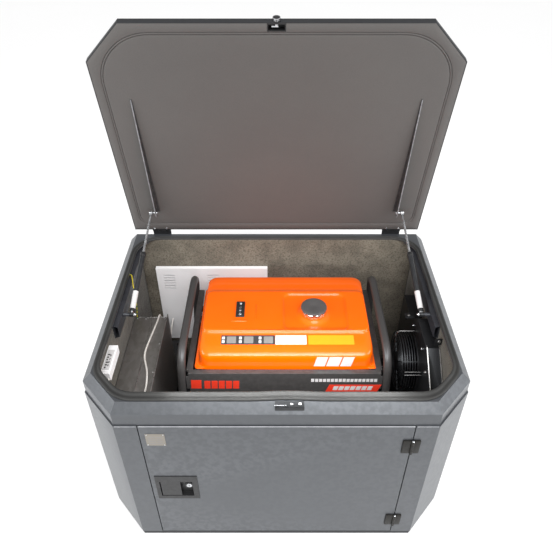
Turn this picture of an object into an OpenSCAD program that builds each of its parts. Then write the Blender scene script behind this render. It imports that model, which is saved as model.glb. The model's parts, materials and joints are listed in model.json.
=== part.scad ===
// Insulated home standby generator: a steel cabinet with a top lid on two gas struts and a
// front door, around an open-frame petrol generator. Millimetres. The origin is at the middle
// of the cabinet's plan on the floor, +X to the right seen from the door, +Y to the rear, +Z up.
// The model is drawn with the lid open and the door shut.

/* [Cabinet] */
// Overall width of the cabinet
cabinet_w = 1200; // [1196:1:1204]
// Overall depth of the cabinet
cabinet_d = 888; // [886:1:890]
// Height of the lower panels
panel_h = 641; // [640:0.5:642]
// Height of the rim that the lid closes on
rim_h = 717; // [716.5:0.5:717]
// Cut-off of each front corner along X
corner_x = 116; // [112:1:120]
// Cut-off of each front corner along Y
corner_y = 129; // [125:1:133]
// Height of the dark base frame
base_h = 20; // [18:1:20]
// Thickness of the sheet steel
sheet = 2; // [1.5:0.1:2]

/* [Lid] */
// Width of the lid
lid_w = 1136; // [1130:1:1136]
// Thickness of the lid
lid_t = 22; // [20:1:24]
// How far the lid stands open
lid_open = 75.85; // [70:0.05:78]

/* [Door] */
// Width of the door
door_w = 822; // [818:1:822]
// Thickness of the door
door_t = 24; // [22:1:24]

/* [Generator] */
// Diameter of the frame tube
tube_d = 28; // [24:1:30]
// Radius of the alternator's rotor
rotor_r = 76; // [70:1:78]
// Number of fan blades
blades = 7; // [5:1:9]

/* [Fits] */
// Radial running clearance of every pin in its hole
fit = 0.05; // [0.02:0.01:0.1]

/* [Hidden] */
$fn = 48;
eps = 1;

half_w = cabinet_w / 2;
front_y = -cabinet_d / 2;
rear_y = cabinet_d / 2;
panel_z0 = base_h + 2;
fascia_in = 4;
bevel_z0 = 691;
bevel_in = fascia_in + rim_h - bevel_z0;

// the opening in the rim, and the seal round it
opening = [550, -380, 407, 84, 94];
seal_out = [568, -412, 424, 99, 110];
seal_h = 6;

// the lid, drawn shut and then turned open about its hinge
hinge_y = 445;
hinge_z = 738;
hinge_r = 6.5;
hinge_pin_r = 3;
lid_hinge_x = 465;
lid_z = rim_h + seal_h + 0.6;
lid_plan = [lid_w / 2, -439, 428, 118, 122];

// the gas struts: lower pivot on the cabinet, upper stud on the lid as it lies shut
strut_low_x = 510;
strut_top_x = 480.5;
strut_low = [0, 680];
stud_shut = [307.6, 700.4];
stud_r = 4;
stud_open = [
  hinge_y + (stud_shut[0] - hinge_y) * cos(lid_open) + (stud_shut[1] - hinge_z) * sin(lid_open),
  hinge_z - (stud_shut[0] - hinge_y) * sin(lid_open) + (stud_shut[1] - hinge_z) * cos(lid_open)
];
strut_angle = atan2(stud_open[1] - strut_low[1], stud_open[0] - strut_low[0]);
strut_run = norm(stud_open - strut_low);
strut_tilt = atan2(strut_low_x - strut_top_x, strut_run);
strut_length = strut_run / cos(strut_tilt);

// the door and its lock
door_z0 = 25;
door_z1 = 640;
door_hinge_x = 413;
door_hinge_y = front_y - 6;
door_hinge_z = [109, 543];
lock_x0 = -397;
lock_x1 = -258;
lock_z0 = 248;
lock_z1 = 379;
pocket_x0 = -384;
pocket_x1 = -276;
pocket_z0 = 265;
pocket_z1 = 347;
paddle_pivot = [-379, front_y + 4];
key_x = -287;
key_z = 328;
bolt_z = 306;

// the generator: crank line, frame and tank
crank_y = 50;
crank_z = 200;
shaft_r = 20;
hoop_x = [-321, 375];
hoop_y = [-161, 295];
hoop_z = [66, 636];
hoop_bend = 70;
hoop_lean = 3.5;
tank_x = [-271, 336];
tank_side = [
  [-138, 456], [-140, 600], [-132, 615], [-112, 624], [-52, 638], [-44, 648],
  [162, 648], [262, 634], [276, 626], [282, 612], [282, 456]
];
filler = [134, 44];
filler_r = 30;

// the fan on the right-hand duct
fan_y = 3;
fan_z = 440;
fan_x = [452, 510];
fan_r = 110;

// the exhaust pipe and the cable entry through the rear wall
exhaust_x = 250;
exhaust_z = 320;
exhaust_r = 21;
gland_x = -250;
gland_z = 120;

// white lead: from the electrical box, along the top of the left duct, up to the driver box
lead_r = 3.5;
lead_route = [
  [-462, 385, 300], [-462, 368, 300], [-462, 351, 298], [-462, 334, 293], [-462, 317, 287],
  [-462, 299, 282], [-461, 281, 280], [-460, 263, 283], [-459, 246, 292], [-458, 232, 305],
  [-457, 220, 321], [-456, 210, 339], [-456, 202, 358], [-456, 196, 378], [-456, 191, 399],
  [-456, 187, 420], [-456, 184, 441], [-456, 182, 462], [-457, 181, 483], [-458, 180, 501],
  [-459, 176, 514], [-460, 166, 520.5], [-461, 152, 520.2], [-463, 132, 518.7], [-466, 108, 518.7],
  [-469, 84, 518.7], [-472, 60, 518.7], [-475, 36, 518.7], [-478, 10, 518.7], [-480, -14, 518.7],
  [-480, -36, 518.7], [-477, -57, 518.7], [-470, -80, 518.7], [-462, -104, 518.7],
  [-456, -128, 518.7], [-452, -152, 518.7], [-449, -178, 518.7], [-448, -204, 518.7],
  [-448, -228, 519.5], [-450, -250, 522], [-454, -270, 527], [-460, -287, 535], [-468, -301, 546],
  [-478, -311, 559], [-489, -317, 573], [-500, -319, 588], [-510, -317, 603], [-518, -312, 617],
  [-525, -305, 629], [-530, -298, 638], [-533, -291, 645], [-534, -284, 649], [-534, -278, 650],
  [-534, -272, 650]
];
// yellow and green earth wire: from the left wall over the channel to the rear corner of the duct
earth_r = 2;
earth_route = [
  [-556, 196, 704], [-551, 196, 704], [-546, 193, 702.5], [-541, 182, 700.5],
  [-536, 165, 698.6], [-531, 146, 696.8], [-527.5, 134, 694], [-525.5, 130, 687],
  [-525, 129, 676], [-525, 130, 662], [-526, 132, 648], [-527, 134, 634], [-529, 137, 620],
  [-531, 140, 606], [-533, 143, 592], [-535, 146, 578], [-537, 149, 564], [-540, 152, 550],
  [-542, 155, 537], [-543.5, 156.5, 527], [-544, 157, 521], [-544, 157, 518]
];

// ---- shapes shared by several parts ----

// a plan outline: half width, front, rear, front corner cut along X and Y, drawn in by i
function plan(p, i = 0, rear_i = 0) =
  let (
    slant = norm([p[3], p[4]]),
    fx = -p[0] + p[3] + i * (slant - p[3]) / p[4],
    sy = p[1] + p[4] + i * (slant - p[4]) / p[3]
  )
  [
    [-p[0] + i, p[2] - rear_i], [-p[0] + i, sy], [fx, p[1] + i],
    [-fx, p[1] + i], [p[0] - i, sy], [p[0] - i, p[2] - rear_i]
  ];

function cabinet(i = 0, rear_i = 0) =
  plan([half_w, front_y, rear_y, corner_x, corner_y], i, rear_i);

module slab(points, z0, z1)
  translate([0, 0, z0])
    linear_extrude(z1 - z0)
      polygon(points);

module block(x, y, z)
  translate([x[0], y[0], z[0]])
    cube([x[1] - x[0], y[1] - y[0], z[1] - z[0]]);

module rounded_plan(p, i, r)
  offset(r = r, $fn = 72)
    offset(delta = -r)
      polygon(plan(p, i, i));

module rod_x(x, y, z, r)
  translate([x[0], y, z])
    rotate([0, 90, 0])
      cylinder(h = x[1] - x[0], r = r);

module rod_y(x, y, z, r)
  translate([x, y[0], z])
    rotate([-90, 0, 0])
      cylinder(h = y[1] - y[0], r = r);

module rod_z(x, y, z, r)
  translate([x, y, z[0]])
    cylinder(h = z[1] - z[0], r = r);

module both_sides() {
  children();
  mirror([1, 0, 0])
    children();
}

// a shape in the Y-Z plane, extruded along X
module across(points, x)
  translate([x[0], 0, 0])
    rotate([90, 0, 90])
      linear_extrude(x[1] - x[0])
        polygon(points);

// a shape in the X-Z plane, extruded along Y
module along(points, y)
  translate([0, y[1], 0])
    rotate([90, 0, 0])
      linear_extrude(y[1] - y[0])
        polygon(points);

// the sloped body between two cabinet outlines at two heights
module frustum(i0, z0, i1, z1, rear_i = 0) {
  low = [for (p = cabinet(i0, rear_i)) [p[0], p[1], z0]];
  high = [for (p = cabinet(i1, rear_i)) [p[0], p[1], z1]];
  n = len(low);
  polyhedron(
    concat(low, high),
    concat(
      [[for (k = [0 : n - 1]) k]],
      [[for (k = [0 : n - 1]) 2 * n - 1 - k]],
      [for (k = [0 : n - 1]) [k, k + n, (k + 1) % n + n, (k + 1) % n]]
    )
  );
}

module turned_open()
  translate([0, hinge_y, hinge_z])
    rotate([-lid_open, 0, 0])
      translate([0, -hinge_y, -hinge_z])
        children();

// ---- a tube along a route, as one closed skin ----

function unit(v) = v / norm(v);

function heading(route, k) =
  unit(route[min(k + 1, len(route) - 1)] - route[max(k - 1, 0)]);

module tube_along(route, r, sides) {
  n = len(route);
  points = [
    for (k = [0 : n - 1])
      let (
        d = heading(route, k),
        u = unit(cross(d, [0.3, 0.1, 1])),
        v = cross(d, u)
      )
      for (s = [0 : sides - 1])
        route[k] + r * (cos(360 * s / sides) * u + sin(360 * s / sides) * v)
  ];
  walls = [
    for (k = [0 : n - 2], s = [0 : sides - 1])
      [
        k * sides + s, (k + 1) * sides + s,
        (k + 1) * sides + (s + 1) % sides, k * sides + (s + 1) % sides
      ]
  ];
  first = [for (s = [0 : sides - 1]) s];
  last = [for (s = [0 : sides - 1]) n * sides - 1 - s];
  polyhedron(points, concat(walls, [first], [last]));
}

// ---- cabinet ----

anchor = [500, 370];
anchor_r = 6.5;

module base_frame() color("#1c1d20")
  difference() {
    union() {
      difference() {
        slab(cabinet(fascia_in), 0, base_h);
        slab(cabinet(fascia_in + 3, 3), 3, base_h + eps);
        slab(cabinet(114, 110), -eps, 3 + eps);
      }
      slab(cabinet(fascia_in), base_h, panel_z0);
    }
    both_sides()
      for (y = [-anchor[1], anchor[1]]) {
        rod_z(anchor[0], y, [-eps, 3 + eps], anchor_r);
        rod_z(anchor[0], y, [base_h - eps, panel_z0 + eps], 18);
      }
  }

module rubber_feet() color("#141414")
  for (side = [0, 1], y = [-60, 165])
    rod_z(hoop_at(side, hoop_z[0]), y, [panel_z0, hoop_z[0] + hoop_rise - tube_d / 2], 17);

door_edge = door_w / 2 + 3;
lip = 18;
weld_gap = 0.1;

module front_post() {
  intersection() {
    difference() {
      slab(cabinet(), panel_z0, panel_h);
      slab(cabinet(sheet), panel_z0 - eps, panel_h - sheet);
      slab(cabinet(10), panel_z0 - eps, panel_h + eps);
    }
    block([door_edge, half_w], [front_y, front_y + corner_y], [panel_z0, panel_h]);
  }
}

// a folded angle behind the post: the door's side stop
module frame_angle(z, gap = 0) {
  frame_y = front_y + door_t + 2;
  block([door_edge, door_edge + sheet], [front_y + sheet + gap, frame_y], z);
  block([door_edge - lip + gap, door_edge + sheet], [frame_y, frame_y + sheet], z);
}

module front_panel() color("#5c6470") {
  frame_y = front_y + door_t + 2;
  both_sides()
    front_post();
  frame_angle([panel_z0, panel_h - sheet]);
  // spot-welded in two lengths, with the latch bolt's slot between them
  mirror([1, 0, 0])
    for (z = [[panel_z0, bolt_z - 9], [bolt_z + 9, panel_h - sheet]])
      frame_angle(z, weld_gap);
  for (z = [panel_z0, panel_h - sheet - lip])
    block([lip - door_edge, door_edge - lip], [frame_y, frame_y + sheet], [z, z + lip]);
}

module side_panel()
  intersection() {
    difference() {
      slab(cabinet(), panel_z0, panel_h);
      slab(cabinet(sheet), panel_z0 - eps, panel_h - sheet);
      slab(cabinet(10), panel_z0 - eps, panel_h + eps);
    }
    block([half_w - 11, half_w], [front_y + corner_y, rear_y - sheet], [panel_z0, panel_h]);
  }

module left_side_panel() color("#5c6470")
  mirror([1, 0, 0])
    side_panel();

module right_side_panel() color("#5c6470")
  side_panel();

module rear_panel() color("#5c6470")
  difference() {
    block([-half_w, half_w], [rear_y - sheet, rear_y], [panel_z0, panel_h]);
    rod_y(exhaust_x, [rear_y - 9, rear_y + 9], exhaust_z, exhaust_r + 3);
    rod_y(gland_x, [rear_y - 9, rear_y + 9], gland_z, 16);
  }

module top_rim() color("#5c6470") {
  difference() {
    union() {
      slab(cabinet(fascia_in), panel_h, bevel_z0);
      frustum(fascia_in, bevel_z0, bevel_in, rim_h);
    }
    slab(cabinet(fascia_in + sheet, sheet), panel_h - eps, bevel_z0 - 1.5);
    frustum(fascia_in + sheet, bevel_z0 - 1.51, bevel_in + 1.5, rim_h - sheet, sheet);
    translate([0, 0, rim_h - 9])
      linear_extrude(20)
        rounded_plan(opening, 0, 90);
  }
  difference() {
    translate([0, 0, rim_h - sheet - 6])
      linear_extrude(6)
        difference() {
          rounded_plan(opening, -sheet, 90);
          rounded_plan(opening, 0, 90);
        }
    block([-half_w, half_w], [390, rear_y], [rim_h - 30, rim_h]);
  }
}

module rim_seal() color("#2b2d2c")
  translate([0, 0, rim_h])
    linear_extrude(seal_h)
      difference() {
        rounded_plan(seal_out, 0, 110);
        rounded_plan(opening, 1, 90);
      }

felt_x = 556;
felt_y = 402;

module felt_lining() color("#6f6759") {
  difference() {
    block([-felt_x, felt_x], [felt_y, rear_y - sheet], [panel_z0, rim_h - sheet]);
    rod_y(exhaust_x, [felt_y - 9, rear_y], exhaust_z, exhaust_r + 3);
    rod_y(gland_x, [felt_y - 9, rear_y], gland_z, 16);
  }
  both_sides()
    along(
      [
        [felt_x, panel_z0], [half_w - sheet, panel_z0], [half_w - sheet, panel_h - 5],
        [felt_x + 10, panel_h - 5], [felt_x + 10, rim_h - sheet - 1], [felt_x, rim_h - sheet - 1]
      ],
      [front_y + corner_y + 10, felt_y]
    );
}

channel_x = 538;
channel_front = -80;

module side_channels() color("#3a3f47") {
  outer = [
    [felt_x, 700], [channel_x, 694], [channel_x, 650], [felt_x, 642]
  ];
  inner = [
    [felt_x - 2, 697.5], [channel_x + 2, 692.4], [channel_x + 2, 652.4], [felt_x - 2, 645]
  ];
  both_sides() {
    difference() {
      along(outer, [channel_front, felt_y]);
      along(inner, [channel_front - eps, felt_y - sheet]);
    }
    rod_x([strut_low_x - 6, channel_x], strut_low[0], strut_low[1], stud_r);
    rod_x([strut_low_x + 8, channel_x], strut_low[0], strut_low[1], 7);
  }
}

module striker() color("#1b1b1d") {
  block([-4, 80], [-438, -413], [rim_h, rim_h + 2]);
  block([-4, 80], [-438, -436], [rim_h - 10, rim_h]);
  block([-4, 0], [-436, -427], [rim_h + 2, rim_h + 5]);
  block([22, 26], [-436, -427], [rim_h + 2, rim_h + 5]);
  rod_x([0, 22], -430, rim_h + 3.5, 1.4);
}

module cabinet_screws() color("#c8ccd0") {
  for (x = [44, 68])
    rod_z(x, -424, [rim_h + 2, rim_h + 4], 5);
  for (x = [-544, -510, -436])
    rod_z(x, duct_y[1] - 7, [duct_z, duct_z + 3], 4.5);
  for (p = [[-80, 590], [60, 570], [-95, 330]])
    rod_x([fan_x[1] - 4, fan_x[1]], p[0], p[1], 6);
}

module lid_hinge_bases() color("#17181a")
  both_sides() {
    block([lid_hinge_x - 36, lid_hinge_x + 36], [rear_y, rear_y + 2.5], [670, 730]);
    for (s = [-1, 1]) {
      x = lid_hinge_x + s * 25;
      rod_x([x - 11, x + 11], hinge_y, hinge_z, hinge_r);
      block([x - 11, x + 11], [rear_y, rear_y + 2.5], [730, hinge_z]);
    }
    rod_x([lid_hinge_x - 36, lid_hinge_x + 36], hinge_y, hinge_z, hinge_pin_r);
  }

// room for the other leaf's knuckle
module knuckle_gap(z, half)
  block([door_hinge_x - 7, door_hinge_x + 7], [front_y - 12, front_y - 1], [z - half, z + half]);

module door_hinge_bases() color("#17181a")
  for (z = door_hinge_z) {
    difference() {
      block([door_hinge_x + 3, door_hinge_x + 35], [front_y - 3, front_y], [z - 31, z + 31]);
      knuckle_gap(z, 12.9);
    }
    for (s = [-1, 1]) {
      rod_z(door_hinge_x, door_hinge_y, [z + s * 22 - 9, z + s * 22 + 9], 5);
      block([door_hinge_x, door_hinge_x + 4], [front_y - 3, front_y - 0.5], [z + s * 22 - 9, z + s * 22 + 9]);
    }
    rod_z(door_hinge_x, door_hinge_y, [z - 31, z + 31], 2.5);
  }

module cable_gland() color("#222222")
  difference() {
    union() {
      rod_y(gland_x, [felt_y - 6, rear_y], gland_z, 15.7);
      rod_y(gland_x, [rear_y, rear_y + 6], gland_z, 24);
    }
    rod_y(gland_x, [felt_y - 9, rear_y + 9], gland_z, 10);
  }

// ---- lid, drawn shut ----

case_x = [-27, 27];
case_y = [-436, -412];

module lid_shell() color("#43474e")
  turned_open()
    difference() {
      slab(plan(lid_plan), lid_z, lid_z + lid_t);
      slab(plan(lid_plan, sheet, sheet), lid_z - eps, lid_z + lid_t - sheet);
      rod_y(0, [lid_plan[1] - eps, lid_plan[1] + 9], lid_z + 11, 5 + fit);
    }

module lid_liner() color("#55524c")
  turned_open()
    difference() {
      slab(plan(lid_plan, sheet, sheet), lid_z, lid_z + lid_t - sheet);
      block(case_x, [lid_plan[1], case_y[1]], [lid_z - eps, lid_z + lid_t]);
    }

module lid_brackets() color("#3a3a3c")
  turned_open()
    both_sides() {
      across(
        [
          [322, lid_z - 2], [322, 693], [296, 690], [-186, lid_z - 4], [-186, lid_z - 2]
        ],
        [459, 462]
      );
      block([449, 462], [-186, 322], [lid_z - 2, lid_z]);
      rod_x([462, strut_top_x - 7.8], stud_shut[0], stud_shut[1], stud_r);
      rod_x([462, 466], stud_shut[0], stud_shut[1], 7);
    }

module lid_hinge_leaves() color("#17181a")
  turned_open()
    both_sides()
      difference() {
        union() {
          rod_x([lid_hinge_x - 13.5, lid_hinge_x + 13.5], hinge_y, hinge_z, hinge_r);
          block(
            [lid_hinge_x - 13.5, lid_hinge_x + 13.5], [lid_plan[2] + 2, hinge_y],
            [hinge_z - 2, hinge_z + hinge_r]
          );
          block(
            [lid_hinge_x - 36, lid_hinge_x + 36], [lid_plan[2], lid_plan[2] + 2.5],
            [lid_z + 1, lid_z + lid_t - 1]
          );
        }
        rod_x([lid_hinge_x - 15, lid_hinge_x + 15], hinge_y, hinge_z, hinge_pin_r + fit);
      }

module lid_lock_case() color("#111111")
  turned_open()
    difference() {
      block(case_x, [lid_plan[1] + sheet, case_y[1]], [lid_z, lid_z + lid_t - sheet]);
      block([-24, 24], [-433, -415], [lid_z - eps, lid_z + 19]);
      rod_y(0, [lid_plan[1], -430], lid_z + 11, 5 + fit);
    }

module lid_lock_hook() color("#b9bcc0")
  turned_open() {
    rod_y(0, [-449, lid_plan[1] - 0.4], lid_z + 11, 11);
    rod_y(0, [lid_plan[1] - 0.4, -424], lid_z + 11, 5);
    block([-14, 5], [-426, -422], [lid_z + 6, lid_z + 16]);
  }

// ---- gas struts ----

module at_pivot(side)
  translate([side * strut_low_x, strut_low[0], strut_low[1]])
    rotate([strut_angle, 0, 0])
      children();

module on_strut(side)
  at_pivot(side)
    rotate([0, 0, side * strut_tilt])
      children();

tube_y = [12, 245];

module strut_tube(side) color("#141414")
  difference() {
    union() {
      at_pivot(side)
        rod_x([-6, 6], 0, 0, 8);
      on_strut(side) {
        rod_y(0, [5, tube_y[0] + 2], 0, 4.5);
        rod_y(0, tube_y, 0, 9);
      }
    }
    on_strut(side) {
      rod_y(0, [tube_y[0] + 8, tube_y[1] - 6], 0, 7.5);
      rod_y(0, [tube_y[1] - 7, tube_y[1] + 1], 0, stud_r + fit);
    }
    at_pivot(side)
      rod_x([-7, 7], 0, 0, stud_r + fit);
  }

module strut_rod(side) color("#c9ccd0")
  on_strut(side) {
    rod_y(0, [150, strut_length - 5], 0, stud_r);
    rod_y(0, [150, 160], 0, 7.5 - fit);
    rod_x([-6, 6], strut_length, 0, 8);
  }

module left_strut_tube() strut_tube(-1);
module left_strut_rod() strut_rod(-1);
module right_strut_tube() strut_tube(1);
module right_strut_rod() strut_rod(1);

// ---- door ----

module lock_cut(grow)
  block(
    [lock_x0 + 9 - grow, lock_x1 - 14 + grow], [front_y - 9, front_y + 40],
    [lock_z0 + 7 - grow, lock_z1 - 7 + grow]
  );

module door_panel() color("#5c6470")
  difference() {
    block([-door_w / 2, door_w / 2], [front_y, front_y + door_t], [door_z0, door_z1]);
    block(
      [sheet - door_w / 2, door_w / 2 - sheet], [front_y + sheet, front_y + door_t + eps],
      [door_z0 + sheet, door_z1 - sheet]
    );
    lock_cut(0);
    block([-door_w / 2 - eps, 9 - door_w / 2], [-430, -424], [bolt_z - 9, bolt_z + 9]);
  }

module door_insulation() color("#3d3a36")
  difference() {
    block(
      [sheet - door_w / 2, door_w / 2 - sheet], [front_y + sheet, front_y + door_t - 2],
      [door_z0 + sheet, door_z1 - sheet]
    );
    lock_cut(2);
    block([-door_w / 2, lock_x0 + 9], [-432, -415], [bolt_z - 11, bolt_z + 11]);
  }

module door_hinge_leaves() color("#17181a")
  for (z = door_hinge_z)
    difference() {
      union() {
        block([door_hinge_x - 35, door_hinge_x - 3], [front_y - 3, front_y], [z - 31, z + 31]);
        rod_z(door_hinge_x, door_hinge_y, [z - 12.5, z + 12.5], 5);
        block([door_hinge_x - 4, door_hinge_x], [front_y - 3, front_y - 0.5], [z - 12.5, z + 12.5]);
      }
      rod_z(door_hinge_x, door_hinge_y, [z - 14, z + 14], 2.5 + fit);
      for (s = [-1, 1])
        knuckle_gap(z + s * 22.7, 10.1);
    }

module nameplate() color("#b7ab98")
  block([-395, -336], [front_y - 1, front_y], [547, 604]);

module lock_housing() color("#151515")
  difference() {
    union() {
      block([lock_x0, lock_x1], [front_y - 2.5, front_y], [lock_z0, lock_z1]);
      block([lock_x0 + 9, lock_x1 - 14], [front_y, front_y + 20], [lock_z0 + 7, lock_z1 - 7]);
    }
    difference() {
      block([pocket_x0, pocket_x1], [front_y - 9, front_y + 14], [pocket_z0, pocket_z1]);
      rod_y(key_x, [front_y - 2.5, front_y + 15], key_z, 13);
    }
    rod_y(key_x, [front_y - 9, front_y + 12], key_z, 9 + fit);
    rod_z(paddle_pivot[0], paddle_pivot[1], [pocket_z0 - 6, pocket_z1 + 6], 2 + fit);
    block([lock_x0 + 5, pocket_x0 + 20], [-430.5, -423.5], [bolt_z - 6 - fit, bolt_z + 6 + fit]);
  }

module lock_paddle() color("#1f1f20") {
  block([pocket_x0 + 3.5, -316], [front_y - 1.5, front_y + 1.5], [pocket_z0 + 1, pocket_z1 - 1]);
  rod_z(paddle_pivot[0], paddle_pivot[1], [pocket_z0 + 1, pocket_z1 - 1], 3.5);
  rod_z(paddle_pivot[0], paddle_pivot[1], [pocket_z0 - 5, pocket_z1 + 5], 2);
}

module key_cylinder() color("#b9bcc0")
  difference() {
    rod_y(key_x, [front_y - 3.5, front_y + 12], key_z, 9);
    block([key_x - 1, key_x + 1], [front_y - 9, front_y + 2], [key_z - 5, key_z + 5]);
  }

module latch_bolt() color("#c8ccd0")
  block([-409, pocket_x0 + 8], [-430, -424], [bolt_z - 6, bolt_z + 6]);

// ---- services ----

ebox_x = [-503, -38];
ebox_z = [179, 584];
ebox_y = 385;

module electrical_box() color("#f2f2f0") {
  block(ebox_x, [felt_y - 3, felt_y], ebox_z);
  difference() {
    block(ebox_x, [ebox_y, felt_y - 3], ebox_z);
    block([ebox_x[0] + 2, ebox_x[1] - 2], [ebox_y + 2, felt_y], [ebox_z[0] + 2, ebox_z[1] - 2]);
    for (x = [-475, -290], z = [475 : 14 : 545])
      block([x, x + 47], [ebox_y - eps, ebox_y + 3], [z, z + 4]);
  }
}

duct_x = [-554, -424];
duct_y = [-300, 164];
duct_z = 515;

module left_duct() color("#a9aaa8") {
  difference() {
    block(duct_x, duct_y, [140, duct_z]);
    block([duct_x[0] + 2, duct_x[1] - 2], [duct_y[0] - eps, duct_y[1] - 2], [142, duct_z - 2]);
  }
  block([duct_x[1] - 2, duct_x[1]], duct_y, [duct_z, duct_z + 16]);
}

module right_duct() color("#1a1a1b") {
  x = [fan_x[1], 554];
  difference() {
    across([[-240, 60], [-240, 545], [-118, 632], [30, 632], [110, 560], [245, 560], [245, 60]], x);
    across([[-238, 62], [-238, 544], [-117, 630], [29, 630], [109, 558], [243, 558], [243, 62]],
      [x[0] + 2, x[1] - 2]);
    rod_x([x[0] - eps, x[0] + 3], fan_y, fan_z, fan_r - 8);
  }
  for (side_x = [x[0], x[1] - 2])
    across([[-240, 545], [-240, 556], [-122, 640], [-114, 640], [-114, 632], [-118, 632]],
      [side_x, side_x + 2]);
}

module fan_ring(x, r, wall)
  translate([x, fan_y, fan_z])
    rotate([0, 90, 0])
      difference() {
        cylinder(h = 3, r = r);
        translate([0, 0, -eps])
          cylinder(h = 3 + 2 * eps, r = r - wall);
      }

module fan_guard() color("#121212") {
  fan_ring(fan_x[1] - 3, fan_r, 14);
  for (x = [fan_x[0] : 9 : fan_x[1] - 12])
    fan_ring(x, fan_r, 3);
  for (r = [54, 73, 92])
    fan_ring(fan_x[0], r, 3);
  for (a = [45 : 90 : 315])
    translate([fan_x[0], fan_y, fan_z])
      rotate([a, 0, 0]) {
        translate([0, 34, -1.5])
          cube([3, fan_r - 35, 3]);
        translate([0, fan_r - 3, -1.5])
          cube([fan_x[1] - fan_x[0] - 3, 3, 3]);
      }
  rod_x([fan_x[0], fan_x[0] + 20], fan_y, fan_z, 36);
  rod_x([fan_x[0] + 20, fan_x[1] - 9], fan_y, fan_z, 4);
}

module fan_rotor() color("#2a2a2c")
  difference() {
    translate([fan_x[0] + 22, fan_y, fan_z])
      union() {
        rotate([0, 90, 0])
          cylinder(h = 16, r = 40);
        for (k = [0 : blades - 1])
          rotate([k * 360 / blades, 0, 0])
            translate([8, 38, 0])
              rotate([0, 30, 0])
                translate([-1, 0, -14])
                  cube([2, 58, 28]);
      }
    rod_x([fan_x[0], fan_x[1]], fan_y, fan_z, 4 + fit);
  }

module driver_box() color("#e9e9e7")
  block([-felt_x, 31 - felt_x], [-272, -148], [645, 679]);

module lamp_cable() color("#eeeeec")
  tube_along(lead_route, lead_r, 8);

module ground_wire() color("#c9c23a")
  tube_along(earth_route, earth_r, 8);

// ---- generator frame and tank ----

// the hoops lean in at the top: the tube's middle and its inner face at height z
function hoop_at(side, z) = hoop_x[side] - (1 - 2 * side) * (hoop_z[1] - z) * tan(hoop_lean);
function inner_face(side, z) = hoop_at(side, z) + (1 - 2 * side) * tube_d / 2 / cos(hoop_lean);
hoop_rise = (hoop_z[1] - hoop_z[0]) * (1 - cos(hoop_lean));

module leaning(side)
  translate([hoop_x[side], 0, hoop_z[1]])
    rotate([0, (1 - 2 * side) * hoop_lean, 0])
      translate([-hoop_x[side], 0, -hoop_z[1]])
        children();

module hoop(x) {
  y0 = hoop_y[0] + hoop_bend;
  y1 = hoop_y[1] - hoop_bend;
  z0 = hoop_z[0] + hoop_bend;
  z1 = hoop_z[1] - hoop_bend;
  r = tube_d / 2;
  for (z = hoop_z)
    rod_y(x, [y0, y1], z, r);
  for (y = hoop_y)
    rod_z(x, y, [z0, z1], r);
  for (c = [[y1, z1, 0], [y0, z1, 90], [y0, z0, 180], [y1, z0, 270]])
    translate([x, c[0], c[1]])
      rotate([c[2], 0, 0])
        rotate([90, 0, 90])
          rotate_extrude(angle = 90)
            translate([hoop_bend, 0])
              circle(r = r);
}

module left_hoop() color("#2c2e31")
  leaning(0)
    hoop(hoop_x[0]);

module right_hoop() color("#2c2e31")
  leaning(1)
    hoop(hoop_x[1]);

module frame_rails() color("#2c2e31") {
  for (y = [-75, 150])
    block([inner_face(0, 80), inner_face(1, 80)], [y, y + 30], [54, 80]);
  for (z = [380, 436])
    block([inner_face(0, z + 10), inner_face(1, z + 10)], [hoop_y[1] - 3, hoop_y[1] + 13], [z - 10, z + 10]);
  for (side = [0, 1]) {
    x = inner_face(side, 557);
    into = x + (1 - 2 * side) * 22;
    block([min(x, into), max(x, into)], [hoop_y[0] + 13, hoop_y[1] - tube_d / 2], [545, 557]);
  }
}

plate_x = [-303, 359];
plate_z = [463, 559];

module front_plate() color("#333539") {
  y = hoop_y[0] - 6;
  block(plate_x, [y, y + 2], plate_z);
  block(plate_x, [y + 2, y + 19], [plate_z[1] - 2, plate_z[1]]);
  block([inner_face(0, 545), plate_x[0]], [y, y + 2], [480, 545]);
  block([plate_x[1], inner_face(1, 545)], [y, y + 2], [480, 545]);
}

module fuel_tank() color("#f4660f")
  difference() {
    union() {
      across(tank_side, tank_x);
      rod_z(filler[0], filler[1], [640, 654], filler_r + 4);
    }
    translate([tank_x[0] + 2, 0, 0])
      rotate([90, 0, 90])
        linear_extrude(tank_x[1] - tank_x[0] - 4)
          offset(delta = -2)
            polygon(tank_side);
    rod_z(filler[0], filler[1], [630, 660], filler_r);
  }

module fuel_cap() color("#3a3c3f") {
  rod_z(filler[0], filler[1], [642, 656], filler_r - fit);
  rod_z(filler[0], filler[1], [655, 675], 46);
}

module fuel_gauge() color("#161616")
  hull()
    for (y = [36, 85])
      rod_z(-131, y, [648, 653], 16);

// ---- generator, below the tank ----

panel_x = [-290, 20];
panel_y = [-160, -70];
panel_zs = [230, 440];
key_switch_at = [-250, 400];
breaker_at = [-40, 395];

module control_panel() color("#2c2e31")
  difference() {
    block(panel_x, panel_y, panel_zs);
    block(
      [panel_x[0] + 2, panel_x[1] - 2], [panel_y[0] + 3, panel_y[1] + eps],
      [panel_zs[0] + 2, panel_zs[1] - 2]
    );
    rod_y(key_switch_at[0], [panel_y[0] - eps, panel_y[0] + 4], key_switch_at[1], 5 + fit);
    block(
      [breaker_at[0] - 10.5, breaker_at[0] + 10.5], [panel_y[0] - eps, panel_y[0] + 4],
      [breaker_at[1] - 13, breaker_at[1] + 13]
    );
  }

module panel_instruments() color("#d8d8d4") {
  for (x = [-235, -165])
    rod_y(x, [panel_y[0] - 8, panel_y[0]], 300, 26);
  rod_y(-85, [panel_y[0] - 6, panel_y[0]], 300, 22);
  block([-200, -130], [panel_y[0] - 5, panel_y[0]], [370, 425]);
  for (x = [-30, -5])
    rod_y(x, [panel_y[0] - 12, panel_y[0]], 300, 7);
}

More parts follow.
